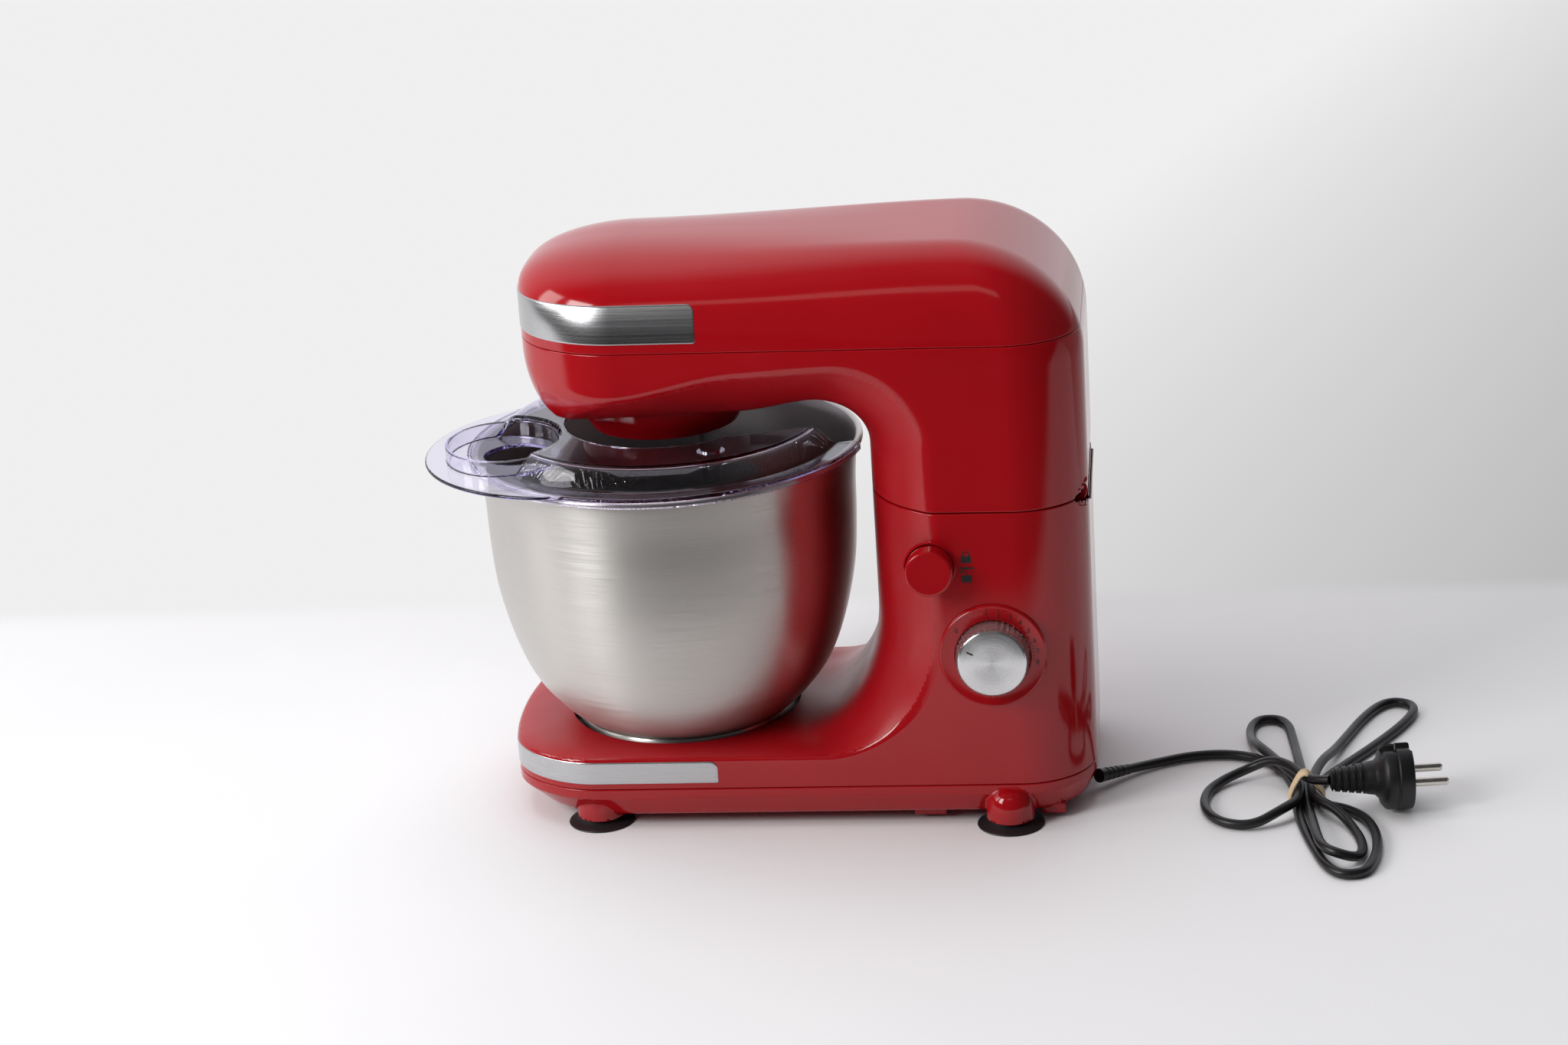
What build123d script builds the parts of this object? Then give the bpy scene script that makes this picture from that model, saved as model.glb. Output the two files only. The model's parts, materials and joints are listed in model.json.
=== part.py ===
from build123d import *
import math
import os

# Stand mixer with a tilting head. Millimetres. +X runs from the nose of the machine to its back,
# +Z is up, the machine stands on z = 0 and is symmetric about the XZ plane, apart from its controls.

# ---- driving dimensions -------------------------------------------------------------------------
BOWL_X = -51.0                   # axis of the bowl, the hub and the planetary drive
BACK_X = BOWL_X + 236.0          # back face of the column
HALF_W = 84.5                    # half width of base and column
NOSE_BASE_X = BOWL_X - 96.0      # front of the base
NOSE_HEAD_X = BOWL_X - 74.0      # front of the head
HALF_W_NOSE = 77.0               # half width of the head near its nose
BACK_CORNER_R = 42.0
WALL = 2.6                       # wall of the moulded shells
FACE_CLEAR = 0.4                 # keeps flat faces of intersected forms from coinciding

TRAY_Z = 7.0                     # underside of the tray
TRAY_SEAM_Z = 25.0               # seam between tray and base shell
BASE_TOP_Z = 42.0                # top of the base
DECK_JOINT_Z = 44.0              # the base shell and the column shell meet here
SPLIT_Z = 183.0                  # the head parts from the column here
SPLIT_GAP = 0.3                  # half of the gap at the split
HEAD_SEAM_Z = 275.0              # seam between the two head shells
HEAD_TOP_Z = 324.0               # crown of the head
BELLY_Z = 225.0                  # lowest line under the head
CREASE_TOP_Z = 269.0             # arch edge on the side of the head
CREASE_X = BOWL_X + 153.5        # arch edge on the side of the column
COLUMN_FRONT_X = BOWL_X + 116.0  # front of the column on the centre plane

BAND = 1.2                       # thickness of the metal bands
HEAD_BAND_Z = (280.5, 301.0)
HEAD_BAND_END_X = BOWL_X + 31.0
BASE_BAND_Z = (28.5, 41.5)
BASE_BAND_END_X = BOWL_X + 27.0

HINGE_X = BACK_X - 7.0           # tilt axis, on the split plane at the back
HINGE_R = 6.5                    # barrel of the tilt hinge
HINGE_HALF = 50.0                # half length of the barrel
HINGE_CUT_R = 8.2                # relief in the shells round the barrel
HEAD_KNUCKLE_HALF = 29.6
PIN_R = 2.5
RUN = 0.05                       # radial clearance of a running fit

FOOT_R = 18.7                    # suction feet
FOOT_POS = [(BOWL_X - 43.0, 67.0), (BOWL_X + 188.0, 80.0)]
FOOT_BOSS_R = 14.5

HUB_R = 44.0                     # red collar under the head
HUB_BOTTOM_Z = 215.5
MODULE = 1.5                     # planetary gearing
RING_TEETH = 48
PLANET_TEETH = 16
ORBIT_R = MODULE * (RING_TEETH - PLANET_TEETH) / 2.0
GEAR_Z = (233.5, 242.5)
SHAFT_R = 6.0
SPINDLE_R = 6.0
SPINDLE_END_R = 5.5              # free end, which the tools slide over
SPINDLE_BOTTOM_Z = 175.0
SPINDLE_STEP_Z = 186.8
CROSS_PIN_Z = 188.6
MOTOR_X = BOWL_X + 132.0
PULLEY_Z = (296.0, 308.0)
DRIVE_PULLEY_R = 40.0
MOTOR_PULLEY_R = 10.0

RIM_Z = 200.6                    # mixing bowl
RIM_R = 110.0
BOWL_WALL = 1.0
BOWL_FLOOR_Z = 47.0
BOWL_FOOT_R = 62.0
SEAT_R = 70.0

LID_TURN = 18.0                  # how far the lid is turned from the straight position, degrees
LID_R = 112.0
LID_WALL = 1.8
PLATEAU_R = 88.0
PLATEAU_Z = 216.5
LID_HOLE_R = 57.0
SLOT_HALF = 51.0
SPOUT_R = 89.3                   # tongue under the filler chute
SPOUT_OFFSET = 47.0
CHUTE_OFFSET = 92.0              # raised ring of the filler chute
CHUTE_R = 34.0
CHUTE_Z = 213.5
FILLER_OFFSET = 85.0             # the hole that the ingredients go through
FILLER_R = 18.5

LOCK_X, LOCK_Z = BOWL_X + 150.2, 153.0
LOCK_R = 13.0
DIAL_X, DIAL_Z = BOWL_X + 182.3, 101.8
DIAL_RING_R = 29.5
DIAL_R = 20.4
DIAL_CAP_R = 18.6

CORD_D = 5.4                     # mains cord

LOCK_COLLAR_R = 14.2
TRAY_SCREWS = [(BOWL_X + x, side * 73.0) for x in (-40.0, 110.0, 205.0) for side in (-1, 1)]
HEAD_SCREWS = [(BOWL_X + x, side * 68.0) for x in (-30.0, 80.0, 200.0) for side in (-1, 1)]
GLAND_R = 4.2

made = {}


def node(name, shape):
    """Keep a finished sub-part under its node name."""
    made[name] = shape


def solid_box(x0, x1, y0, y1, z0, z1):
    return Pos((x0 + x1) / 2, (y0 + y1) / 2, (z0 + z1) / 2) * Box(x1 - x0, y1 - y0, z1 - z0)


def rod_z(x, y, radius, z0, z1):
    return Pos(x, y, (z0 + z1) / 2) * Cylinder(radius, z1 - z0)


def rod_y(x, z, radius, y0, y1):
    return Pos(x, (y0 + y1) / 2, z) * Rot(90, 0, 0) * Cylinder(radius, y1 - y0)


def ring_z(x, y, outer, inner, z0, z1):
    return rod_z(x, y, outer, z0, z1) - rod_z(x, y, inner, z0 - 1, z1 + 1)


def ring_y(x, z, outer, inner, y0, y1):
    return rod_y(x, z, outer, y0, y1) - rod_y(x, z, inner, y0 - 1, y1 + 1)


# ---- outer forms of the moulded body ------------------------------------------------------------
def plan_face(nose_x, bow, front_half, nose_r, inset):
    """Plan with a slightly bowed nose, tapering sides and a square back with round corners."""
    nose, back = nose_x + inset, BACK_X - inset
    half_a, half_b = front_half - inset, HALF_W - inset
    corner_x = nose_x + bow + inset
    edges = [ThreePointArc((corner_x, half_a), (nose, 0), (corner_x, -half_a)),
             Line((corner_x, -half_a), (back, -half_b)),
             Line((back, -half_b), (back, half_b)),
             Line((back, half_b), (corner_x, half_a))]
    face = make_face(Curve() + edges)
    face = fillet([v for v in face.vertices() if v.X < 0], nose_r - inset)
    return fillet([v for v in face.vertices() if v.X > back - 1], BACK_CORNER_R - inset)


def base_face(inset):
    return plan_face(NOSE_BASE_X, 16.0, HALF_W - 2.0, 42.0, inset)


def base_prism(inset, z0, z1):
    return Pos(0, 0, z0) * extrude(base_face(inset), z1 - z0)


def head_prism(inset, z0, z1):
    face = plan_face(NOSE_HEAD_X, 26.0, HALF_W_NOSE - 2.5, 30.0, inset)
    return Pos(0, 0, z0) * extrude(face, z1 - z0)


def crown_prism(inset):
    """Section of the head across X: upright sides that round over into a gently domed top."""
    half, rise = HALF_W - inset + FACE_CLEAR, HEAD_TOP_Z - HEAD_SEAM_Z - inset
    steps = [math.radians(a) for a in range(0, 181, 15)]
    power = 2.0 / 2.8
    points = [(half * math.copysign(abs(math.cos(a)) ** power, math.cos(a)),
               HEAD_SEAM_Z + rise * math.sin(a) ** power) for a in steps]
    top = Spline(points)
    low = Polyline([points[-1], (-half, SPLIT_Z - 20), (half, SPLIT_Z - 20), points[0]])
    face = make_face(Curve() + [top, low])
    return Pos(NOSE_HEAD_X - 10, 0, 0) * extrude(Plane.YZ * face, BACK_X - NOSE_HEAD_X + 20)


def side_prism(inset):
    """Side view of the head: rounded nose, flat top, large radius at the back."""
    nose, back = NOSE_HEAD_X + inset - FACE_CLEAR, BACK_X - inset + FACE_CLEAR
    top = HEAD_TOP_Z - inset
    front_a, front_b = 59.0 - inset, 39.0 - inset
    back_a, back_b = 71.0 - inset, 62.0 - inset
    edges = [
        EllipticalCenterArc((nose + front_a, top - front_b), front_a, front_b, 90, arc_size=90),
        EllipticalCenterArc((back - back_a, top - back_b), back_a, back_b, 0, arc_size=90),
        Line((nose + front_a, top), (back - back_a, top)),
        Line((back, top - back_b), (back, SPLIT_Z - 10)),
        Line((back, SPLIT_Z - 10), (nose + 22, SPLIT_Z - 10)),
        Line((nose + 22, SPLIT_Z - 10), (nose + 22, BELLY_Z + inset - 1)),
        Spline((nose + 22, BELLY_Z + inset - 1), (nose + 7, BELLY_Z + 8 + inset),
               (nose, BELLY_Z + 35)),
        Line((nose, BELLY_Z + 35), (nose, top - front_b)),
    ]
    face = make_face(Curve() + edges)
    return extrude(Plane.XZ * face, HALF_W + 5, both=True)


def arch_section(y, grow):
    """Outline of the open space between head, column and base at one distance from the middle."""
    part = min(abs(y) / HALF_W, 1.0)
    belly = CREASE_TOP_Z - (CREASE_TOP_Z - BELLY_Z) * (1 - part ** 2) ** 0.5 + grow
    roof = CREASE_TOP_Z - 31.0 * (1 - part ** 2) ** 0.5 + grow
    front = CREASE_X - (CREASE_X - COLUMN_FRONT_X) * (1 - part ** 4) ** 0.55 + grow
    floor = BASE_TOP_Z - grow
    depth = (front - COLUMN_FRONT_X - grow) / (CREASE_X - COLUMN_FRONT_X)
    top_a, top_b = 31.0 + 21.0 * depth, 38.0 + 16.0 * depth
    low_a, low_b = 45.0 + 21.0 * depth, 70.0 + 4.0 * depth
    start = NOSE_BASE_X - 40
    hub_end = BOWL_X + 46.0
    edges = [
        Line((start, belly), (hub_end, belly)),
        Spline((hub_end, belly), (front - top_a, roof), tangents=((1, 0), (1, 0))),
        EllipticalCenterArc((front - top_a, roof - top_b), top_a, top_b, 0, arc_size=90),
        Line((front, roof - top_b), (front, floor + low_b)),
        EllipticalCenterArc((front - low_a, floor + low_b), low_a, low_b, 270, arc_size=90),
        Line((front - low_a, floor), (start, floor)),
        Line((start, floor), (start, belly)),
    ]
    return Pos(0, y, 0) * (Plane.XZ * make_face(Curve() + edges))


def arch_space(grow=0.0):
    """The open C between head, column and base. It widens towards both sides of the machine."""
    parts = [0.0, 0.35, 0.6, 0.78, 0.9, 0.97, 1.0, 1.1]
    stations = [HALF_W * p for p in parts]
    half = Part()
    for near, far in zip(stations[:-1], stations[1:]):
        half += loft([arch_section(near, grow), arch_section(far, grow)], ruled=True)
    return half + half.mirror(Plane.XZ)


# ---- base: shell, tray, feet, trim --------------------------------------------------------------
def hinge_relief():
    """Room for the hinge barrel, narrowing towards the round back corners of the shells."""
    cut = rod_y(HINGE_X, SPLIT_Z, HINGE_CUT_R, -HINGE_HALF - 0.5, HINGE_HALF + 0.5)
    for side in (-1, 1):
        taper = Cone(HINGE_CUT_R, 1.6, 17.0)
        cut += Pos(HINGE_X, side * (HINGE_HALF + 9.0), SPLIT_Z) * Rot(-90 * side, 0, 0) * taper
    return cut


def knuckle(y0, y1, bore, z_low, z_high):
    """One knuckle of the tilt hinge with the web that ties it to a shell."""
    body = rod_y(HINGE_X, SPLIT_Z, HINGE_R, y0, y1)
    body += solid_box(HINGE_X - HINGE_R, HINGE_X + HINGE_R, y0, y1, z_low, z_high)
    return body - rod_y(HINGE_X, SPLIT_Z, bore, y0 - 1, y1 + 1)


def screw_boss(x, y, radius, wall_y, z0, z1):
    """Screw boss tied to the side wall of a shell by a rib."""
    ends = sorted((y, math.copysign(wall_y, y)))
    rib = solid_box(x - 1.2, x + 1.2, ends[0], ends[1], z0, z1)
    return rod_z(x, y, radius, z0, z1) + rib - rod_z(x, y, 1.8, z0 - 1, z1 + 1)


def base_band():
    band = base_prism(0, *BASE_BAND_Z) - base_prism(BAND, BASE_BAND_Z[0] - 1, BASE_BAND_Z[1] + 1)
    return band - solid_box(BASE_BAND_END_X, BACK_X + 10, -100, 100, 0, 60)


def build_base():
    top = SPLIT_Z - SPLIT_GAP
    shell = base_prism(0, TRAY_SEAM_Z, top) - arch_space()
    shell -= base_prism(WALL, TRAY_SEAM_Z - 1, top - 3.0) - arch_space(WALL)
    shell -= rod_z(BOWL_X, 0, SEAT_R, 20, 60)
    shell -= hinge_relief()
    for side in (-1, 1):
        ends = sorted((side * (HEAD_KNUCKLE_HALF + 0.4), side * HINGE_HALF))
        shell += knuckle(ends[0], ends[1], PIN_R, SPLIT_Z - 12, SPLIT_Z)
    shell -= solid_box(LOCK_X - 10, LOCK_X + 12, -64, -50, top - 5, top + 5)
    shell -= rod_z(BOWL_X + 185, 0, 12, top - 5, top + 5)
    shell -= rod_y(LOCK_X, LOCK_Z, LOCK_COLLAR_R, -HALF_W - 5, -60)
    shell -= rod_y(DIAL_X, DIAL_Z, 5.0, -HALF_W - 5, -60)
    for x, y in TRAY_SCREWS:
        shell += screw_boss(x, y, 5.0, 82.0, TRAY_SEAM_Z, 34.0)
    shell -= base_band()
    node("base_shell", shell & solid_box(-300, 300, -100, 100, 0, DECK_JOINT_Z))
    node("column_shell", shell & solid_box(-300, 300, -100, 100, DECK_JOINT_Z, 200))
    node("base_trim_band", base_band())
    build_tray()


def build_tray():
    height = TRAY_SEAM_Z - TRAY_Z
    tray = Pos(0, 0, TRAY_SEAM_Z) * extrude(base_face(0), height, dir=(0, 0, -1), taper=14)
    hollow = Pos(0, 0, TRAY_SEAM_Z) * extrude(base_face(WALL), height - WALL, dir=(0, 0, -1),
                                              taper=14)
    tray -= hollow
    for x, y in FOOT_POS:
        for side in (-1, 1):
            tray += Pos(x, side * y, 8.5) * Cone(FOOT_BOSS_R - 2.0, FOOT_BOSS_R, 11.0)
    for x, y in TRAY_SCREWS:
        tray += rod_z(x, y, 5.0, TRAY_Z + 1, TRAY_SEAM_Z)
        tray -= rod_z(x, y, 1.8, TRAY_Z - 3, TRAY_SEAM_Z + 1)
        tray -= rod_z(x, y, 3.8, TRAY_Z - 3, TRAY_Z + 5)
    for x, y in FOOT_POS:
        for side in (-1, 1):
            tray -= rod_z(x, side * y, 2.0, 2.0, 13.0)
    for x0, x1, low in ((134.0, 152.0, 3.0), (205.0, 218.0, 2.6)):
        for side in (-1, 1):
            ends = sorted((side * 66.0, side * 74.0))
            tray += solid_box(BOWL_X + x0, BOWL_X + x1, ends[0], ends[1], low, TRAY_Z + 1)
    exit_dir = (Vector(*CORD_ROUTE[1]) - Vector(*CORD_ROUTE[0])).normalized()
    tray -= Plane(origin=CORD_ROUTE[0], z_dir=exit_dir) * Cylinder(GLAND_R, 36.0)
    node("base_tray", tray)

    feet, screws = Part(), Part()
    foot = Cone(FOOT_R, FOOT_R - 1.2, 1.4) + Pos(0, 0, 1.05) * Cone(FOOT_R - 2.5, 10.0, 0.9)
    foot = Pos(0, 0, 0.7) * foot + rod_z(0, 0, 10.0, 1.0, 3.0)
    foot -= rod_z(0, 0, 4.0, -1, 2.0) + rod_z(0, 0, 2.0, 1, 4)
    foot -= ring_z(0, 0, 16.0, 7.0, -1, 0.6)
    screw = rod_z(0, 0, 3.9, 0.8, 2.0) + rod_z(0, 0, 2.0, 2.0, 12.5)
    for x, y in FOOT_POS:
        for side in (-1, 1):
            feet += Pos(x, side * y, 0) * foot
            screws += Pos(x, side * y, 0) * screw
    node("suction_feet", feet)
    node("foot_screws", screws)
    screws = Part()
    for x, y in TRAY_SCREWS:
        screws += rod_z(x, y, 3.6, TRAY_Z + 2, TRAY_Z + 5) + rod_z(x, y, 1.8, TRAY_Z + 5, 33.0)
    node("tray_screws", screws)


def build_seat_and_hinge():
    seat = ring_z(BOWL_X, 0, SEAT_R, SEAT_R - 3.5, 33.0, BASE_TOP_Z)
    seat += ring_z(BOWL_X, 0, SEAT_R, 20.0, 33.0, 36.0)
    for turn in (90, 210, 330):
        lug = ring_z(0, 0, SEAT_R - 3.5, BOWL_FOOT_R + 0.8, 39.2, 41.4)
        lug &= Rot(0, 0, turn) * solid_box(30, 90, -13, 13, 30, 50)
        seat += Pos(BOWL_X, 0, 0) * lug
    node("bowl_seat", seat)
    node("hinge_pin", rod_y(HINGE_X, SPLIT_Z, PIN_R, -HINGE_HALF, HINGE_HALF))


# ---- controls on the side of the column ---------------------------------------------------------
def serrated_disc(radius, depth, teeth, y0, y1):
    """Disc on the side of the machine with small rounded grooves round its rim."""
    disc = rod_y(0, 0, radius, y0, y1)
    for k in range(teeth):
        turn = 2 * math.pi * k / teeth
        disc -= rod_y(radius * math.cos(turn), radius * math.sin(turn), depth, y0 - 1, y1 + 1)
    return disc


def build_controls():
    side = -HALF_W
    collar = ring_y(LOCK_X, LOCK_Z, LOCK_COLLAR_R, 4.0 + RUN, side - 0.4, side + 9.0)
    node("lock_collar", collar)
    knob = fillet(rod_y(LOCK_X, LOCK_Z, LOCK_R, side - 11.5, side - 0.8).edges().filter_by(
        GeomType.CIRCLE).sort_by(Axis.Y)[0], 1.5)
    knob += rod_y(LOCK_X, LOCK_Z, 4.0, side - 0.8, -72.0)
    node("lock_knob", knob)
    cam = solid_box(LOCK_X - 5, LOCK_X + 13, -72.0, -68.0, LOCK_Z - 5, LOCK_Z + 5)
    cam += rod_y(LOCK_X, LOCK_Z, 7.0, -72.0, -68.0)
    node("lock_cam", cam)

    ring = ring_y(DIAL_X, DIAL_Z, DIAL_RING_R, DIAL_RING_R - 5.0, side - 2.6, side + 0.0)
    node("dial_ring", ring)
    skirt = serrated_disc(DIAL_R, 0.7, 40, side - 11.5, side - 0.5)
    skirt = Pos(DIAL_X, 0, DIAL_Z) * skirt
    skirt -= rod_y(DIAL_X, DIAL_Z, DIAL_CAP_R, side - 20.0, side - 9.5)
    skirt -= rod_y(DIAL_X, DIAL_Z, 3.0, side - 15.0, side + 1.0)
    node("dial_skirt", skirt)
    cap = rod_y(DIAL_X, DIAL_Z, DIAL_CAP_R, side - 13.0, side - 9.5)
    cap = chamfer(cap.edges().filter_by(GeomType.CIRCLE).sort_by(Axis.Y)[0], 0.8)
    node("dial_cap", cap)
    node("dial_shaft", rod_y(DIAL_X, DIAL_Z, 3.0, side - 9.5, -66.0))
    switch = solid_box(DIAL_X - 16, DIAL_X + 16, -72.0, -46.0, DIAL_Z - 16, DIAL_Z + 16)
    switch += rod_y(DIAL_X, DIAL_Z, 4.8, side + 1.0, -72.0)
    switch -= rod_y(DIAL_X, DIAL_Z, 3.0 + RUN, side - 1, -65.5)
    node("speed_switch", switch)
    board = solid_box(BOWL_X + 140, BOWL_X + 215, 38.0, 39.6, 50.0, 120.0)
    for x, z, w in ((158, 70, 12), (185, 95, 16), (200, 66, 10)):
        board += solid_box(BOWL_X + x - w / 2, BOWL_X + x + w / 2, 20.0, 38.0, z - w / 2, z + w / 2)
    node("control_board", board)
    guard = solid_box(LOCK_X + 16, LOCK_X + 34, -62.0, -52.0, 150.0, 164.0)
    guard += solid_box(LOCK_X + 20, LOCK_X + 24, -59.0, -55.0, 164.0, 168.0)
    node("safety_switch", guard)


# ---- head: shells, drive train ------------------------------------------------------------------
def head_block(inset, z0):
    block = head_prism(inset, z0, HEAD_TOP_Z + 5) & side_prism(inset)
    return (block & crown_prism(inset)) - arch_space(inset)


def head_band():
    low, high = HEAD_BAND_Z
    band = head_block(0, low) - head_block(BAND, low - 1)
    slab = solid_box(NOSE_HEAD_X - 5, HEAD_BAND_END_X, -100, 100, low, high)
    return band & slab


def build_head():
    low = SPLIT_Z + SPLIT_GAP
    shell = head_block(0, low) - head_block(WALL, low + 3.0)
    shell -= hinge_relief()
    upper = shell & solid_box(-300, 300, -100, 100, HEAD_SEAM_Z, 400)
    lower = shell & solid_box(-300, 300, -100, 100, 100, HEAD_SEAM_Z)
    lower += knuckle(-HEAD_KNUCKLE_HALF, HEAD_KNUCKLE_HALF, PIN_R + RUN, SPLIT_Z, SPLIT_Z + 12)
    lower -= rod_z(BOWL_X, 0, HUB_R, 200, 260)
    lower -= rod_z(BOWL_X + 185, 0, 12, low - 5, low + 5)
    lower += solid_box(LOCK_X - 4, LOCK_X + 4, -61.0, -53.0, 170.0, low + 3.0)
    screws = Part()
    for x, y in HEAD_SCREWS:
        wall_y = 75.5 + 0.03 * (x - BOWL_X + 30.0)
        lower += screw_boss(x, y, 4.5, wall_y, HEAD_SEAM_Z - 12, HEAD_SEAM_Z)
        upper += screw_boss(x, y, 4.5, wall_y, HEAD_SEAM_Z, HEAD_SEAM_Z + 12)
        screws += rod_z(x, y, 1.8, HEAD_SEAM_Z - 12, HEAD_SEAM_Z + 11)
        screws += rod_z(x, y, 3.4, HEAD_SEAM_Z - 14.4, HEAD_SEAM_Z - 12)
    node("head_top_shell", upper - head_band())
    node("head_lower_shell", lower)
    node("head_trim_band", head_band())
    node("head_screws", screws)


def gear_face(teeth, root_r, tip_r, root_w, tip_w):
    """Straight-flanked gear outline, one tooth centred on +X."""
    points = []
    for k in range(teeth):
        turn = 2 * math.pi * k / teeth
        for radius, half in ((root_r, -root_w / 2), (tip_r, -tip_w / 2),
                             (tip_r, tip_w / 2), (root_r, root_w / 2)):
            angle = turn + math.asin(half / radius)
            points.append((radius * math.cos(angle), radius * math.sin(angle)))
    return make_face(Polyline(points, close=True))


def build_hub():
    ring_pitch = MODULE * RING_TEETH / 2
    planet_pitch = MODULE * PLANET_TEETH / 2
    collar = rod_z(BOWL_X, 0, HUB_R, 220.5, 246.0) + rod_z(BOWL_X, 0, HUB_R - 1.8, HUB_BOTTOM_Z, 221)
    collar -= rod_z(BOWL_X, 0, 40.0, 210, 250)
    node("hub_collar", collar)

    ring = rod_z(BOWL_X, 0, 40.0, *GEAR_Z)
    teeth = gear_face(RING_TEETH, ring_pitch - 1.1, ring_pitch + 1.7, 3.1, 1.9)
    ring -= Pos(BOWL_X, 0, GEAR_Z[0] - 1) * extrude(teeth, GEAR_Z[1] - GEAR_Z[0] + 2)
    node("ring_gear", ring)

    housing = rod_z(BOWL_X, 0, 50.0, 246.0, 251.0) + rod_z(BOWL_X, 0, 16.0, 251.0, 292.0)
    housing -= rod_z(BOWL_X, 0, SHAFT_R + 1.0, 240, 300)
    for z0, z1 in ((246.0, 253.0), (285.0, 292.0)):
        housing -= rod_z(BOWL_X, 0, 11.0, z0 - 0.01, z1)
    node("gearbox_housing", housing)
    bearings = Part()
    for z0, z1 in ((246.0, 253.0), (285.0, 292.0)):
        bearings += ring_z(BOWL_X, 0, 11.0, SHAFT_R + RUN, z0, z1)
    node("main_bearings", bearings)

    node("main_shaft", rod_z(BOWL_X, 0, SHAFT_R, 221.0, 312.0))
    pulley = ring_z(BOWL_X, 0, DRIVE_PULLEY_R, SHAFT_R, *PULLEY_Z)
    for turn in range(0, 360, 60):
        pulley -= Pos(BOWL_X, 0, 0) * Rot(0, 0, turn) * rod_z(23.0, 0, 7.5, 290, 312)
    node("drive_pulley", pulley)
    spindle_x = BOWL_X + ORBIT_R
    carrier = rod_z(BOWL_X, 0, 38.8, 221.0, 231.0) + rod_z(spindle_x, 0, 10.0, 211.0, 221.0)
    carrier -= rod_z(BOWL_X, 0, SHAFT_R, 215, 235) + rod_z(spindle_x, 0, SPINDLE_R + RUN, 205, 235)
    node("planet_carrier", carrier)

    planet = extrude(gear_face(PLANET_TEETH, planet_pitch - 1.9, planet_pitch + 1.2, 2.9, 1.1),
                     GEAR_Z[1] - GEAR_Z[0])
    planet = Pos(spindle_x, 0, GEAR_Z[0]) * planet - rod_z(spindle_x, 0, SPINDLE_R, 230, 250)
    node("planet_gear", planet)
    spindle = rod_z(spindle_x, 0, SPINDLE_END_R, SPINDLE_BOTTOM_Z, SPINDLE_STEP_Z)
    spindle = chamfer(spindle.edges().sort_by(Axis.Z)[0], 1.2)
    spindle += rod_z(spindle_x, 0, SPINDLE_R, SPINDLE_STEP_Z, GEAR_Z[1])
    spindle += rod_z(spindle_x, 0, 8.0, 191.0, 194.0)
    spindle -= rod_y(spindle_x, CROSS_PIN_Z, 1.6, -10, 10)
    node("tool_spindle", spindle)
    node("spindle_pin", rod_y(spindle_x, CROSS_PIN_Z, 1.6, -9.5, 9.5))


def build_motor():
    can = fillet(rod_z(MOTOR_X, 0, 34.0, 246.0, 288.0).edges().filter_by(GeomType.CIRCLE), 3.0)
    can -= rod_z(MOTOR_X, 0, 4.0 + RUN, 240, 295)
    node("motor_can", can)
    bracket = solid_box(MOTOR_X - 42, MOTOR_X + 42, -60, 60, 288.0, 290.5)
    bracket -= rod_z(MOTOR_X, 0, 12.0, 280, 295)
    node("motor_bracket", bracket)
    node("motor_shaft", rod_z(MOTOR_X, 0, 4.0, 236.5, 312.0))
    pulley = ring_z(MOTOR_X, 0, MOTOR_PULLEY_R, 4.0, *PULLEY_Z)
    node("motor_pulley", pulley)
    fan = ring_z(MOTOR_X, 0, 8.0, 4.0, 237.0, 244.5) + ring_z(MOTOR_X, 0, 25.0, 8.0, 243.5, 244.5)
    for turn in range(0, 360, 40):
        fan += Pos(MOTOR_X, 0, 0) * Rot(0, 0, turn) * solid_box(7.5, 25, -0.6, 0.6, 238.5, 244.0)
    node("motor_fan", fan)
    outer = make_hull(belt_circles(2.2).edges())
    inner = make_hull(belt_circles(0.4).edges())
    belt = extrude(Pos(0, 0, PULLEY_Z[0] + 2) * (outer - inner), 8.0)
    node("drive_belt", belt)


def belt_circles(gap):
    circles = Pos(BOWL_X, 0) * Circle(DRIVE_PULLEY_R + gap)
    return circles + Pos(MOTOR_X, 0) * Circle(MOTOR_PULLEY_R + gap)


# ---- bowl and lid -------------------------------------------------------------------------------
BOWL_PROFILE = [(107.1, RIM_Z), (104.6, 178.0), (104.0, 155.0), (102.2, 130.0), (97.6, 107.0),
                (91.0, 86.0), (83.7, 71.0), (73.5, 58.5), (60.0, 50.0)]


def bowl_face(inset):
    """Half section of the bowl, filled, with its surface moved inwards by inset."""
    top = RIM_Z
    wall = Spline([(r - inset, z + inset * 0.4 * (top - z) / top) for r, z in BOWL_PROFILE]
                  + [(48.0, BOWL_FLOOR_Z + inset)])
    floor = Line((48.0, BOWL_FLOOR_Z + inset), (0, BOWL_FLOOR_Z + inset))
    close = Polyline([(0, BOWL_FLOOR_Z + inset), (0, top), (BOWL_PROFILE[0][0] - inset, top)])
    return Plane.XZ * make_face(Curve() + [wall, floor, close])


def build_bowl():
    filled = revolve(bowl_face(0.0), Axis.Z)
    bowl = filled - revolve(bowl_face(BOWL_WALL), Axis.Z)
    bead = revolve(Plane.XZ * (Pos(RIM_R - 2.2, RIM_Z) * Circle(2.2)), Axis.Z)
    node("mixing_bowl", Pos(BOWL_X, 0, 0) * (bowl + bead))
    foot = ring_z(0, 0, BOWL_FOOT_R, BOWL_FOOT_R - 3.0, 36.4, 54.0)
    for turn in (90, 210, 330):
        lug = ring_z(0, 0, BOWL_FOOT_R + 3.4, BOWL_FOOT_R - 1.0, 36.4, 38.8)
        foot += lug & (Rot(0, 0, turn) * solid_box(30, 90, -10, 10, 30, 50))
    node("bowl_foot", Pos(BOWL_X, 0, 0) * (foot - filled))


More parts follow.
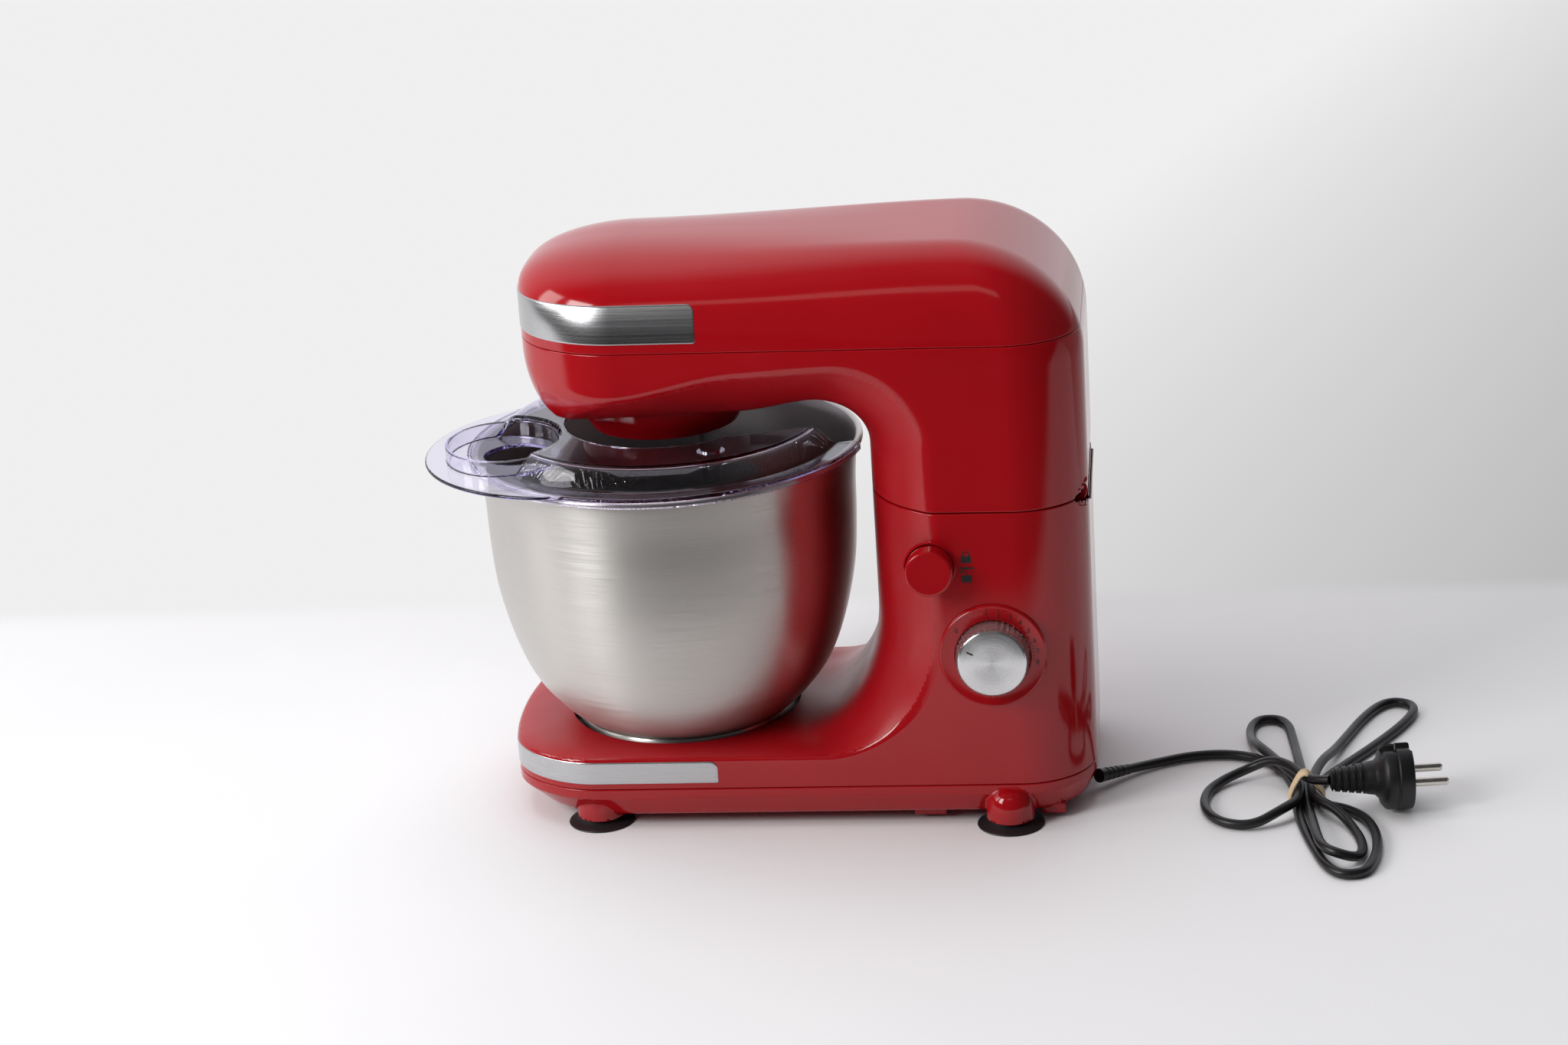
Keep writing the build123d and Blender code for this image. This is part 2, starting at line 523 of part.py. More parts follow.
def build_lid():
    flange_z, lip_z = 205.0, 199.6
    inner_z = flange_z - LID_WALL
    outline = [(LID_R, lip_z), (LID_R, flange_z), (PLATEAU_R + 13.0, flange_z),
               (PLATEAU_R + 0.6, PLATEAU_Z), (LID_HOLE_R, PLATEAU_Z),
               (LID_HOLE_R, PLATEAU_Z - LID_WALL), (PLATEAU_R - 0.4, PLATEAU_Z - LID_WALL),
               (PLATEAU_R + 11.6, inner_z), (LID_R - 1.4, inner_z), (LID_R - 1.4, lip_z)]
    lid = revolve(Plane.XZ * make_face(Polyline(outline, close=True)), Axis.Z)
    oval = Pos(-CHUTE_OFFSET, 0) * Ellipse(CHUTE_R - 1.5, CHUTE_R + 4.0)
    oval_in = Pos(-CHUTE_OFFSET, 0) * Ellipse(CHUTE_R - 3.2, CHUTE_R + 2.3)
    lid -= Pos(0, 0, inner_z) * extrude(oval, 20.0)
    lid += Pos(0, 0, inner_z) * extrude(oval, CHUTE_Z - inner_z)
    tongue = rod_z(-SPOUT_OFFSET, 0, SPOUT_R, inner_z, flange_z) - rod_z(0, 0, 100.0, 190, 220)
    lid += tongue
    lid -= Pos(0, 0, flange_z) * extrude(oval_in, 20.0)
    lid -= rod_z(-FILLER_OFFSET, 0, FILLER_R, 190, 220)
    lid -= solid_box(0, 130, -SLOT_HALF, SLOT_HALF, 190, 230)
    node("splash_lid", Pos(BOWL_X, 0, 0) * Rot(0, 0, LID_TURN) * lid)


# ---- mains cord ---------------------------------------------------------------------------------
# It leaves the back of the tray near one corner, runs along the table and is tied up in loose loops.
CORD_ROUTE = [(185.0, -37.5, 9.0), (196.0, -25.0, 6.0), (214.0, -9.0, 3.2), (238.0, 3.0, 3.0),
              (262.0, 4.0, 3.0), (280.0, -7.0, 3.4), (290.0, -24.0, 5.5)]
BUNDLE_AT = (299.0, -58.0)
BUNDLE_TOP_Z = 8.5
BUNDLE_WAIST_R = 12.0
BUNDLE_OUTLINE = [
    (244, -60), (250, -36), (266, -27), (285, -28), (275, -8), (274, 38), (284, 52), (293, 40),
    (300, -10), (305, -12), (314, 15), (350, 78), (363, 80), (366, 62), (345, 20), (316, -25),
    (316, -50), (328, -53), (334, -75), (334, -100), (325, -135), (315, -157), (305, -150),
    (300, -110), (290, -72), (282, -68), (268, -94), (252, -90)]
PLUG_AXIS_Z = 18.6
PLUG_R = 18.3
PLUG_FACE = (355.5, -66.0)
PLUG_TURN = 6.0
PLUG_PIN_R = 2.4
PIN_LENGTH = 19.0
PIN_SPACING = 19.0


def corner_radii(points):
    """The largest arc that the two runs at each corner leave room for."""
    radii = []
    for before, here, after in zip(points, points[1:], points[2:]):
        into, out = Vector(*here) - Vector(*before), Vector(*after) - Vector(*here)
        half_turn = math.radians(into.get_angle(out)) / 2
        radii.append(0.45 * min(into.length, out.length) / math.tan(half_turn))
    return radii


def build_cord():
    exit_dir = (Vector(*CORD_ROUTE[1]) - Vector(*CORD_ROUTE[0])).normalized()
    gland_plane = Plane(origin=CORD_ROUTE[0], z_dir=exit_dir)
    gland = gland_plane * (Pos(0, 0, -9.0) * Cylinder(GLAND_R, 18.0))
    node("cord_gland", gland)

    radii = corner_radii(CORD_ROUTE)
    print("cord radii", [round(r, 1) for r in radii])
    path = FilletPolyline(*CORD_ROUTE, radius=radii)
    section = Plane(origin=path @ 0, z_dir=path % 0) * Circle(CORD_D / 2)
    tube = sweep(section, path)
    print("cord tube", round(path.length, 1), "mm, volume ratio",
          round(tube.volume / (math.pi * CORD_D ** 2 / 4 * path.length), 4))
    node("power_cord", tube)

    bundle = Pos(0, 0, 0.3) * extrude(make_face(Polyline(BUNDLE_OUTLINE, close=True)),
                                      BUNDLE_TOP_Z - 0.3)
    bundle += rod_z(*BUNDLE_AT, BUNDLE_WAIST_R, 0.3, 16.0)
    node("cord_bundle", bundle)
    node("cord_tie", ring_z(*BUNDLE_AT, BUNDLE_WAIST_R + 1.2, BUNDLE_WAIST_R, 8.6, 14.0))

    frame = Pos(PLUG_FACE[0], PLUG_FACE[1], PLUG_AXIS_Z) * Rot(0, 0, PLUG_TURN) * Rot(0, 90, 0)
    body = Pos(0, 0, -9.0) * Cylinder(PLUG_R, 18.0)
    body -= Pos(0, 0, -9.0) * (Pos(0, PLUG_R + 3.0, 0) * Cylinder(5.0, 30.0)
                               + Pos(0, -PLUG_R - 3.0, 0) * Cylinder(5.0, 30.0))
    body += Pos(0, 0, -31.0) * Cone(6.0, 9.0, 26.0)
    pins = Part()
    for side in (-1, 1):
        pin = Pos(0, side * PIN_SPACING / 2, PIN_LENGTH / 2) * Cylinder(PLUG_PIN_R, PIN_LENGTH)
        pins += chamfer(pin.edges().filter_by(GeomType.CIRCLE).sort_by(Axis.Z)[-1], 1.0)
    node("plug_body", frame * body)
    node("plug_pins", frame * pins)


build_base()
build_seat_and_hinge()
build_controls()
build_head()
build_hub()
build_motor()
build_bowl()
build_lid()
build_cord()

os.makedirs("parts", exist_ok=True)
for name, shape in made.items():
    export_step(shape, os.path.join("parts", name + ".step"))
    print(name, len(shape.solids()), round(shape.volume / 1000.0, 2), "cm3")
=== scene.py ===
import json
import math

import bmesh
import bpy
import numpy as np
from mathutils import Matrix, Vector


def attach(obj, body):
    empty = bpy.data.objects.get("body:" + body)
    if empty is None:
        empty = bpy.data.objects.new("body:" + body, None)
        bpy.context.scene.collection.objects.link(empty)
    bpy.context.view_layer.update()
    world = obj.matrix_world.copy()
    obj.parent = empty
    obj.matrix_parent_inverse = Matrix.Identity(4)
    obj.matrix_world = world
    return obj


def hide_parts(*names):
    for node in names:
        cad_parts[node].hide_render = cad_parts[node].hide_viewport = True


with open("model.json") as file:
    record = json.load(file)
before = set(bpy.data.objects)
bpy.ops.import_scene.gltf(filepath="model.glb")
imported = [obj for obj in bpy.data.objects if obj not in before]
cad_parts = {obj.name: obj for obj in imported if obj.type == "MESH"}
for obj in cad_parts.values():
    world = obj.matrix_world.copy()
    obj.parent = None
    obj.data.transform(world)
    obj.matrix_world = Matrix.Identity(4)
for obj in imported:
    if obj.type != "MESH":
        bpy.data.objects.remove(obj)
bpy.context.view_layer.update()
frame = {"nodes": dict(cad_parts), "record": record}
NODES = frame["nodes"]

# Millimetres in the frame of the part, turned to metres where meshes are made.
BX = -51.0                # axis of the bowl and of the hub
BACK = 185.0              # back of the column and of the head
HALF = 84.5               # half the body's width
HEAD_NOSE = BX - 74.0
BASE_NOSE = BX - 96.0
SEAM = 275.0              # joint between the head's two shells
TOP = 324.0
NOSE_LIFT = 23.0          # how far the crown's widest line rises at the nose
NOSE_DEPTH = 59.0         # length of the rounded nose
SPLIT_GAP = 0.12          # half the gap at the seams of fixed shells
HINGE_X, HINGE_Z = 178.0, 183.0
HINGE_GROOVE = 8.2        # radius of the groove in the shells round the hinge
HINGE_HALF = 50.0
TRAY_TOP = 25.0


# ---- camera, floor and light
def make_camera():
    tilt, roll, turn = math.radians(19.09), math.radians(3.77), math.radians(7.0)
    ahead = Vector((-math.sin(turn), math.cos(turn), 0))
    right = Vector((math.cos(turn), math.sin(turn), 0))
    up = Vector((0, 0, 1))
    view = ahead * math.cos(tilt) - up * math.sin(tilt)
    down = -(ahead * math.sin(tilt) + up * math.cos(tilt))
    axis_x = right * math.cos(roll) + down * math.sin(roll)
    axis_y = -(down * math.cos(roll) - right * math.sin(roll))
    data = bpy.data.cameras.new("camera")
    data.lens = 76.7
    data.sensor_width = 36.0
    cam = bpy.data.objects.new("camera", data)
    bpy.context.scene.collection.objects.link(cam)
    cam.matrix_world = Matrix((axis_x, axis_y, -view)).transposed().to_4x4()
    cam.location = (0.2291, -1.770, 0.7686)
    bpy.context.scene.camera = cam


def mesh_object(name, verts, faces, scale=0.001):
    mesh = bpy.data.meshes.new(name)
    verts = np.asarray(verts, dtype=float) * scale
    mesh.from_pydata(verts.tolist(), [], [list(map(int, f)) for f in faces])
    mesh.validate()
    obj = bpy.data.objects.new(name, mesh)
    bpy.context.scene.collection.objects.link(obj)
    return obj


def smooth(obj, angle=40.0):
    """Smooth shading, with edges sharper than the angle kept sharp."""
    mesh = obj.data
    mesh.shade_smooth()
    mesh.set_sharp_from_angle(angle=math.radians(angle))
    return obj


def make_stage(floor_mat):
    """Flat pale floor that fills the view."""
    n = 13
    edge = np.linspace(-9.0, 9.0, n)
    verts = [(x, y, 0.0) for y in edge for x in edge]
    corners = [r * n + c for r in range(n - 1) for c in range(n - 1)]
    faces = [(i, i + 1, i + n + 1, i + n) for i in corners]
    stage = mesh_object("stage", verts, faces, 1.0)
    stage.data.materials.append(floor_mat)


def area_light(name, place, target, size, power, color=(1, 1, 1), glossy=True):
    data = bpy.data.lights.new(name, "AREA")
    data.shape = "RECTANGLE"
    data.size, data.size_y = size
    data.energy = power
    data.color = color
    lamp = bpy.data.objects.new(name, data)
    bpy.context.scene.collection.objects.link(lamp)
    lamp.location = place
    aim = Vector(target) - Vector(place)
    lamp.rotation_euler = aim.to_track_quat("-Z", "Y").to_euler()
    lamp.visible_glossy = glossy


def make_lights():
    world = bpy.data.worlds.new("world")
    world.use_nodes = True
    tree = world.node_tree
    back = tree.nodes["Background"]
    coords = tree.nodes.new("ShaderNodeTexCoord")
    lean = tree.nodes.new("ShaderNodeVectorMath")
    lean.operation = "DOT_PRODUCT"
    lean.inputs[1].default_value = (-0.25, 0.88, 0.35)
    tree.links.new(coords.outputs["Generated"], lean.inputs[0])
    rise = tree.nodes.new("ShaderNodeMapRange")
    rise.interpolation_type = "SMOOTHSTEP"
    for key, value in (("From Min", 0.2), ("From Max", 0.8), ("To Min", 0.07), ("To Max", 0.92)):
        rise.inputs[key].default_value = value
    tree.links.new(lean.outputs["Value"], rise.inputs["Value"])
    tree.links.new(rise.outputs["Result"], back.inputs["Strength"])
    back.inputs["Color"].default_value = (0.95, 0.96, 1.0, 1)
    plain = tree.nodes.new("ShaderNodeBackground")
    plain.inputs["Color"].default_value = (0.80, 0.80, 0.81, 1)
    path = tree.nodes.new("ShaderNodeLightPath")
    pick = tree.nodes.new("ShaderNodeMixShader")
    tree.links.new(path.outputs["Is Camera Ray"], pick.inputs[0])
    tree.links.new(back.outputs[0], pick.inputs[1])
    tree.links.new(plain.outputs[0], pick.inputs[2])
    tree.links.new(pick.outputs[0], tree.nodes["World Output"].inputs["Surface"])
    bpy.context.scene.world = world
    bpy.context.scene.view_settings.view_transform = "Standard"
    area_light("top", (-0.2, 0.0, 2.1), (0.0, 0.0, 0.1), (1.9, 1.3), 17, glossy=False)
    area_light("left", (-1.9, -0.3, 1.25), (0.0, 0.1, 0.2), (0.7, 1.0), 12, (1, 0.98, 0.96))
    area_light("window", (-1.25, -1.10, 1.10), (-0.05, 0.0, 0.18), (0.62, 0.9), 21)
    area_light("front", (0.05, -1.5, 1.75), (0.0, 0.0, 0.2), (1.1, 0.25), 0.8, (1, 0.88, 0.80))


# ---- materials
MATS = {}


class Maker:
    """Small helper that adds shader nodes to one material, which is kept in MATS."""

    def __init__(self, name):
        MATS[name] = bpy.data.materials.new(name)
        MATS[name].use_nodes = True
        self.tree = MATS[name].node_tree
        self.bsdf = self.tree.nodes["Principled BSDF"]

    def add(self, kind, **values):
        node = self.tree.nodes.new(kind)
        for key, value in values.items():
            setattr(node, key, value)
        return node

    def link(self, a, b):
        self.tree.links.new(a, b)

    def set(self, **values):
        for key, value in values.items():
            self.bsdf.inputs[key.replace("_", " ")].default_value = value

    def place(self, scale):
        """Coordinates of the object, stretched by scale."""
        coords = self.add("ShaderNodeTexCoord")
        mapping = self.add("ShaderNodeMapping")
        mapping.inputs["Scale"].default_value = scale
        self.link(coords.outputs["Object"], mapping.inputs["Vector"])
        return mapping.outputs["Vector"]

    def centred(self, centre):
        """Coordinates of the object, measured from centre."""
        coords = self.add("ShaderNodeTexCoord")
        away = self.add("ShaderNodeVectorMath", operation="SUBTRACT")
        away.inputs[1].default_value = centre
        self.link(coords.outputs["Object"], away.inputs[0])
        return away.outputs[0]

    def parts(self, vector):
        """X, Y and Z of a vector."""
        node = self.add("ShaderNodeSeparateXYZ")
        self.link(vector, node.inputs[0])
        return node.outputs

    def around(self, centre, scale_turn, scale_z):
        """Coordinates that run round an upright axis: turn and height."""
        x, y, z = self.parts(self.centred(centre))
        turn = self.add("ShaderNodeMath", operation="ARCTAN2")
        self.link(y, turn.inputs[0])
        self.link(x, turn.inputs[1])
        out = self.add("ShaderNodeCombineXYZ")
        for socket, axis, scale in ((turn.outputs[0], 0, scale_turn), (z, 1, scale_z)):
            times = self.add("ShaderNodeMath", operation="MULTIPLY")
            times.inputs[1].default_value = scale
            self.link(socket, times.inputs[0])
            self.link(times.outputs[0], out.inputs[axis])
        return out.outputs[0]

    def ripples(self, centre, scale):
        """Coordinates that change with the distance from a level axis along Y."""
        flat = self.add("ShaderNodeVectorMath", operation="MULTIPLY")
        flat.inputs[1].default_value = (scale, 0, scale)
        self.link(self.centred(centre), flat.inputs[0])
        length = self.add("ShaderNodeVectorMath", operation="LENGTH")
        self.link(flat.outputs[0], length.inputs[0])
        out = self.add("ShaderNodeCombineXYZ")
        self.link(length.outputs["Value"], out.inputs[0])
        return out.outputs[0]

    def noise(self, vector, scale, detail=3.0):
        node = self.add("ShaderNodeTexNoise")
        node.inputs["Scale"].default_value = scale
        node.inputs["Detail"].default_value = detail
        self.link(vector, node.inputs["Vector"])
        return node.outputs["Fac"]

    def spread(self, value, low, high, start=0.3, end=0.7):
        node = self.add("ShaderNodeMapRange")
        node.inputs["From Min"].default_value = start
        node.inputs["From Max"].default_value = end
        node.inputs["To Min"].default_value = low
        node.inputs["To Max"].default_value = high
        self.link(value, node.inputs["Value"])
        return node.outputs["Result"]

    def bump(self, height, strength, distance):
        node = self.add("ShaderNodeBump")
        node.inputs["Strength"].default_value = strength
        node.inputs["Distance"].default_value = distance
        self.link(height, node.inputs["Height"])
        self.link(node.outputs["Normal"], self.bsdf.inputs["Normal"])

    def color_ramp(self, value, low, high):
        node = self.add("ShaderNodeMix", data_type="RGBA")
        self.link(value, node.inputs["Factor"])
        node.inputs[6].default_value = (*low, 1)
        node.inputs[7].default_value = (*high, 1)
        self.link(node.outputs[2], self.bsdf.inputs["Base Color"])

    def mixed(self, share, first, second):
        node = self.add("ShaderNodeMixShader")
        for socket, value in zip(node.inputs, (share, first, second)):
            self.link(value, socket)
        return node.outputs[0]


def plastic(name, color, rough, grain=900.0, grain_depth=0.04):
    """Moulded plastic with slight mottling and a fine grain."""
    m = Maker(name)
    soft = m.noise(m.place((1, 1, 1)), 14.0)
    dark = tuple(c * 0.93 for c in color)
    m.color_ramp(m.spread(soft, 0, 1), dark, color)
    m.bump(m.noise(m.place((1, 1, 1)), grain, 2.0), grain_depth, 0.0002)
    m.link(m.spread(m.noise(m.place((1, 1, 1)), 35.0), rough * 0.85, rough * 1.15),
           m.bsdf.inputs["Roughness"])


def brushed(name, color, rough, vector_of, scale, anisotropy=0.0, axis=None, depth=0.10):
    """Brushed metal; axis is the one that the brush went round."""
    m = Maker(name)
    m.set(Metallic=1.0, Anisotropic=anisotropy)
    if axis:
        tangent = m.add("ShaderNodeTangent", direction_type="RADIAL", axis=axis)
        m.link(tangent.outputs[0], m.bsdf.inputs["Tangent"])
        m.set(Anisotropic_Rotation=0.25)
    lines = m.noise(vector_of(m), scale, 4.0)
    m.color_ramp(m.spread(lines, 0, 1), tuple(c * 0.86 for c in color), color)
    m.link(m.spread(lines, rough * 0.8, rough * 1.25), m.bsdf.inputs["Roughness"])
    m.bump(lines, depth, 0.0001)


def table_cloth():
    """Pale matt floor with painted light. Painted reflection: glossy rays see its near end as a dark sheet.
    Its far part is a painted glow, brighter on the left and dimmer on the right, standing in for a lit wall
    behind the table."""
    m = Maker("floor")
    m.set(Roughness=0.75)
    m.color_ramp(m.spread(m.noise(m.place((1, 1, 1)), 3.0), 0, 1), (0.80, 0.795, 0.81), (0.84, 0.83, 0.84))
    m.bump(m.noise(m.place((1, 1, 1)), 60.0), 0.05, 0.0005)
    x, y, _ = m.parts(m.centred((0, 0, 0)))
    # Painted reflection: for glossy rays the near end of the floor turns into a dark sheet, standing in for a
    # dark room in front.
    path = m.add("ShaderNodeLightPath")
    near_end = m.add("ShaderNodeMath", operation="MULTIPLY")
    m.link(m.spread(y, 1.0, 0.0, -0.46, -0.36), near_end.inputs[0])
    m.link(path.outputs["Is Glossy Ray"], near_end.inputs[1])
    dark = m.add("ShaderNodeBsdfDiffuse")
    dark.inputs["Color"].default_value = (0.03, 0.028, 0.028, 1)
    # Painted light: the far part of the floor glows, brighter on the left and dimmer on the right, standing in
    # for a lit wall.
    across = m.add("ShaderNodeMath", operation="MULTIPLY_ADD")
    across.inputs[1].default_value = -0.35
    m.link(y, across.inputs[0])
    m.link(x, across.inputs[2])
    painted_wall_glow = m.add("ShaderNodeEmission")
    painted_wall_glow.inputs["Color"].default_value = (0.985, 0.975, 0.985, 1)
    m.link(m.spread(across.outputs[0], 0.89, 0.25, -0.30, 0.85), painted_wall_glow.inputs["Strength"])
    sheet = m.mixed(near_end.outputs[0], m.bsdf.outputs[0], dark.outputs[0])
    painted_glow_share = m.spread(y, 0.0, 1.0, 0.262, 0.29)
    m.link(m.mixed(painted_glow_share, sheet, painted_wall_glow.outputs[0]), m.tree.nodes["Material Output"].inputs["Surface"])


def bowl_inside():
    """Inner wall of the bowl in brushed metal, its colour painted darker towards the bottom as painted shade.
    """
    m = Maker("bowl_inside")
    m.set(Metallic=1.0)
    height = m.parts(m.centred((0, 0, 0)))[2]
    lines = m.noise(m.around((BX / 1000, 0, 0), 0.6, 900.0), 3.0, 4.0)
    # Painted shade: the colour falls from 0.58 near the rim to 0.10 low in the bowl, standing in for the shade
    # inside it.
    m.color_ramp(m.spread(height, 0, 1, 0.120, 0.195), (0.10, 0.095, 0.09), (0.58, 0.56, 0.54))
    m.link(m.spread(lines, 0.32, 0.48), m.bsdf.inputs["Roughness"])
    m.bump(lines, 0.10, 0.0001)


def make_materials():
    plastic("red_gloss", (0.37, 0.003, 0.007), 0.11, 500, 0.012)
    plastic("red_satin", (0.40, 0.004, 0.009), 0.34, 1600, 0.06)
    brushed("bowl_steel", (0.68, 0.655, 0.62), 0.38,
            lambda m: m.around((BX / 1000, 0, 0), 0.6, 900.0), 3.0, 0.85, "Z")
    brushed("band_steel", (0.56, 0.56, 0.57), 0.27, lambda m: m.place((1.5, 1.5, 900.0)), 6.0, depth=0.02)
    brushed("plain_steel", (0.55, 0.55, 0.56), 0.3, lambda m: m.place((30, 30, 300)), 5.0)
    brushed("polished_steel", (0.78, 0.78, 0.79), 0.10, lambda m: m.place((30, 30, 300)), 5.0)
    brushed("pin_nickel", (0.72, 0.68, 0.62), 0.22, lambda m: m.place((60, 300, 300)), 5.0)
    brushed("drive_alloy", (0.5, 0.51, 0.52), 0.42, lambda m: m.place((60, 60, 60)), 8.0)
    brushed("motor_iron", (0.22, 0.22, 0.23), 0.5, lambda m: m.place((20, 20, 900)), 3.0)
    brushed("dial_silver", (0.82, 0.82, 0.83), 0.26,
            lambda m: m.ripples((0.1313, 0, 0.1018), 2600.0), 1.0, 0.8, "Y")
    plastic("foot_rubber", (0.014, 0.014, 0.015), 0.45, 900, 0.2)
    plastic("inner_black", (0.02, 0.02, 0.02), 0.5, 900, 0.2)
    plastic("gear_nylon", (0.8, 0.78, 0.7), 0.5)
    plastic("board_green", (0.04, 0.2, 0.08), 0.35)
    plastic("belt_rubber", (0.02, 0.02, 0.02), 0.6)
    plastic("cord_black", (0.006, 0.006, 0.007), 0.40, 1200, 0.1)
    plastic("tie_tan", (0.74, 0.56, 0.36), 0.55, 700, 0.4)
    plastic("mark_black", (0.012, 0.010, 0.010), 0.45, 900, 0.1)
    plastic("plug_black", (0.005, 0.005, 0.006), 0.48, 1500, 0.25)
    table_cloth()
    bowl_inside()
    m = Maker("lid_clear")
    m.set(Roughness=0.02, Transmission_Weight=1.0, IOR=1.46, Base_Color=(0.97, 0.96, 0.99, 1))
    m.bump(m.noise(m.place((1, 1, 1)), 40.0), 0.015, 0.0002)
    tint = m.add("ShaderNodeVolumeAbsorption")
    tint.inputs["Color"].default_value = (0.46, 0.36, 0.88, 1)
    tint.inputs["Density"].default_value = 60.0
    m.link(tint.outputs[0], m.tree.nodes["Material Output"].inputs["Volume"])
    m = Maker("dial_clear")
    m.set(Roughness=0.12, Transmission_Weight=0.85, IOR=1.46, Base_Color=(0.80, 0.45, 0.45, 1))
    m.bump(m.noise(m.place((1, 1, 1)), 300.0), 0.05, 0.0002)


def paint(obj, slot):
    obj.data.materials.clear()
    obj.data.materials.append(MATS[slot])


def finish_nodes():
    """Procedural materials on the CAD nodes that stay."""
    for part in frame["record"]["subparts"]:
        obj = NODES[part["node"]]
        for s in obj.material_slots:
            s.material = MATS[part["material_slot"]]


# ---- body surfaces
def round_max(a, b, ra, rb=None):
    """Largest of two distances, with an elliptic rounding where their zero surfaces meet."""
    rb = ra if rb is None else rb
    u = np.maximum(a / ra + 1.0, 0.0)
    v = np.maximum(b / rb + 1.0, 0.0)
    full = u * u + v * v
    scale = (ra * u * u + rb * v * v) / np.maximum(full, 1e-9)
    return np.where(full > 1e-6, (np.sqrt(full) - 1.0) * scale, np.maximum(a, b))


def ease(t):
    t = np.clip(t, 0.0, 1.0)
    return t * t * (3.0 - 2.0 * t)


def by_slope(shape, x, y, z, h=0.4):
    """Value of shape over the length of its slope, which is a distance near the surface."""
    value = shape(x, y, z)
    total = 1e-6
    for dx, dy, dz in ((h, 0, 0), (0, h, 0), (0, 0, h)):
        total = total + ((shape(x + dx, y + dy, z + dz) - shape(x - dx, y - dy, z - dz)) / (2 * h)) ** 2
    return value / np.sqrt(total)


def column_front(y):
    """X of the column's concave front face."""
    return 102.5 - 37.5 * (1.0 - depth_at(y))


def depth_at(y):
    """0 in the middle of the column's front, 1 at its side edges."""
    return np.minimum(np.abs(y) / HALF, 1.0) ** 3.6


def hinge_relief(x, y, z):
    """Groove across the back, round the hinge barrel, that runs out before the rounded corners."""
    radius = HINGE_GROOVE - 7.6 * np.clip((np.abs(y) - HINGE_HALF - 1.0) / 15.0, 0.0, 1.0)
    return np.maximum(np.hypot(x - HINGE_X, z - HINGE_Z) - radius, np.abs(y) - HINGE_HALF - 16.0)


def head_half(x):
    """Half the head's width, which grows from the nose to the back."""
    return 75.0 + 9.5 * np.clip((x - HEAD_NOSE - 20) / 250.0, 0, 1)


def head_plan(x, y):
    """Side and front terms of the head's outline, and how much of it is front."""
    side = (np.abs(y) / head_half(x)) ** 2.8
    front = (np.maximum(HEAD_NOSE + NOSE_DEPTH - x, 0.0) / NOSE_DEPTH) ** 1.87
    return side, front, front / (side + front + 0.02)


def head_upper(x, y, z):
    """Crown, sides, nose and back of the head."""
    half = head_half(x)
    side, front, share = head_plan(x, y)
    start = SEAM + NOSE_LIFT * share
    rise = np.maximum(z - start, 0.0) / (TOP - start)
    nose = (side + front + rise ** 2.8) - 1.0
    scale = (side * half + rise ** 2.8 * (TOP - start)) / 2.8 + front * NOSE_DEPTH / 1.87
    nose = nose * scale / np.maximum(side + front + rise ** 2.8, 0.05)
    s = np.maximum(np.abs(y) - half + 42.0, 0.0) / 42.0
    t = np.maximum(z - 262.0, 0.0) / 62.0
    ring = (s ** 2.3 + t ** 2.3) ** (2 / 2.3)
    lean = t * t / (s * s + t * t + 1e-4)
    reach = 42.0 + 29.0 * lean
    behind = (np.maximum(x - BACK + reach, 0.0) / reach) ** 2
    back = (np.sqrt(ring + behind + 1e-9) - 1.0) * (reach * behind + (42 + 20 * lean) * ring) \
        / np.maximum(ring + behind, 0.05)
    mix = ease((x + 60.0) / 170.0)
    return nose * (1.0 - mix) + back * mix


def head_inner(x, y, z):
    """Underside of the head, which turns down into the column."""
    part = np.minimum(np.abs(y) / HALF, 1.0)
    depth = depth_at(y)
    rise = 6.0 * ease((x + 5.0) / 45.0)
    blend = ease((x + 70.0) / 70.0)
    round_part = np.sqrt(np.maximum(1.0 - part * part, 0.0))
    belly = z - (269.0 - (47.3 - rise) * (round_part + blend * (1.0 - part ** 2.6 - round_part)))
    under = -round_max(-belly, 232.0 + rise - z, 2.5)
    before = x - column_front(y)
    return -round_max(under, before, 38.0 + 16.0 * depth, 31.0 + 21.0 * depth)


def head_shape(x, y, z):
    """Whole head: crown and sides over the underside, with the hinge groove."""
    upper = head_upper(x, y, z)
    inner = by_slope(head_inner, x, y, z)
    _, _, share = head_plan(x, y)
    f = round_max(upper, inner, 2.2 + 20.0 * share, 2.2 + 38.0 * share)
    return round_max(f, -hinge_relief(x, y, z), 0.8)


def base_plan(x, y):
    """Distance from the upright sides of the base and column."""
    half = 82.5 + 2.0 * np.clip((x - BASE_NOSE - 16) / 316.0, 0, 1)
    side = np.abs(y) - half
    front = BASE_NOSE + 14.0 * (y / 82.5) ** 2 - x
    plan = round_max(side, front, 40.0)
    return round_max(plan, x - BACK, 42.0)


def base_inner(x, y, z):
    """Domed deck, which turns up into the column's front."""
    depth = depth_at(y)
    t = np.clip(-base_plan(x, y) / 18.0, 0.0, 1.0)
    above = 42.0 + 3.4 * np.sqrt(1.0 - (1.0 - t) ** 2) - z
    before = x - column_front(y)
    return -round_max(above, before, 70.0 + 4.0 * depth, 45.0 + 21.0 * depth)


def base_shape(x, y, z):
    """Base and column above the tray."""
    inner = by_slope(base_inner, x, y, z)
    f = round_max(base_plan(x, y), inner, 0.8 + 1.6 * ease((z - 44.0) / 30.0))
    return round_max(f, -hinge_relief(x, y, z), 0.8)


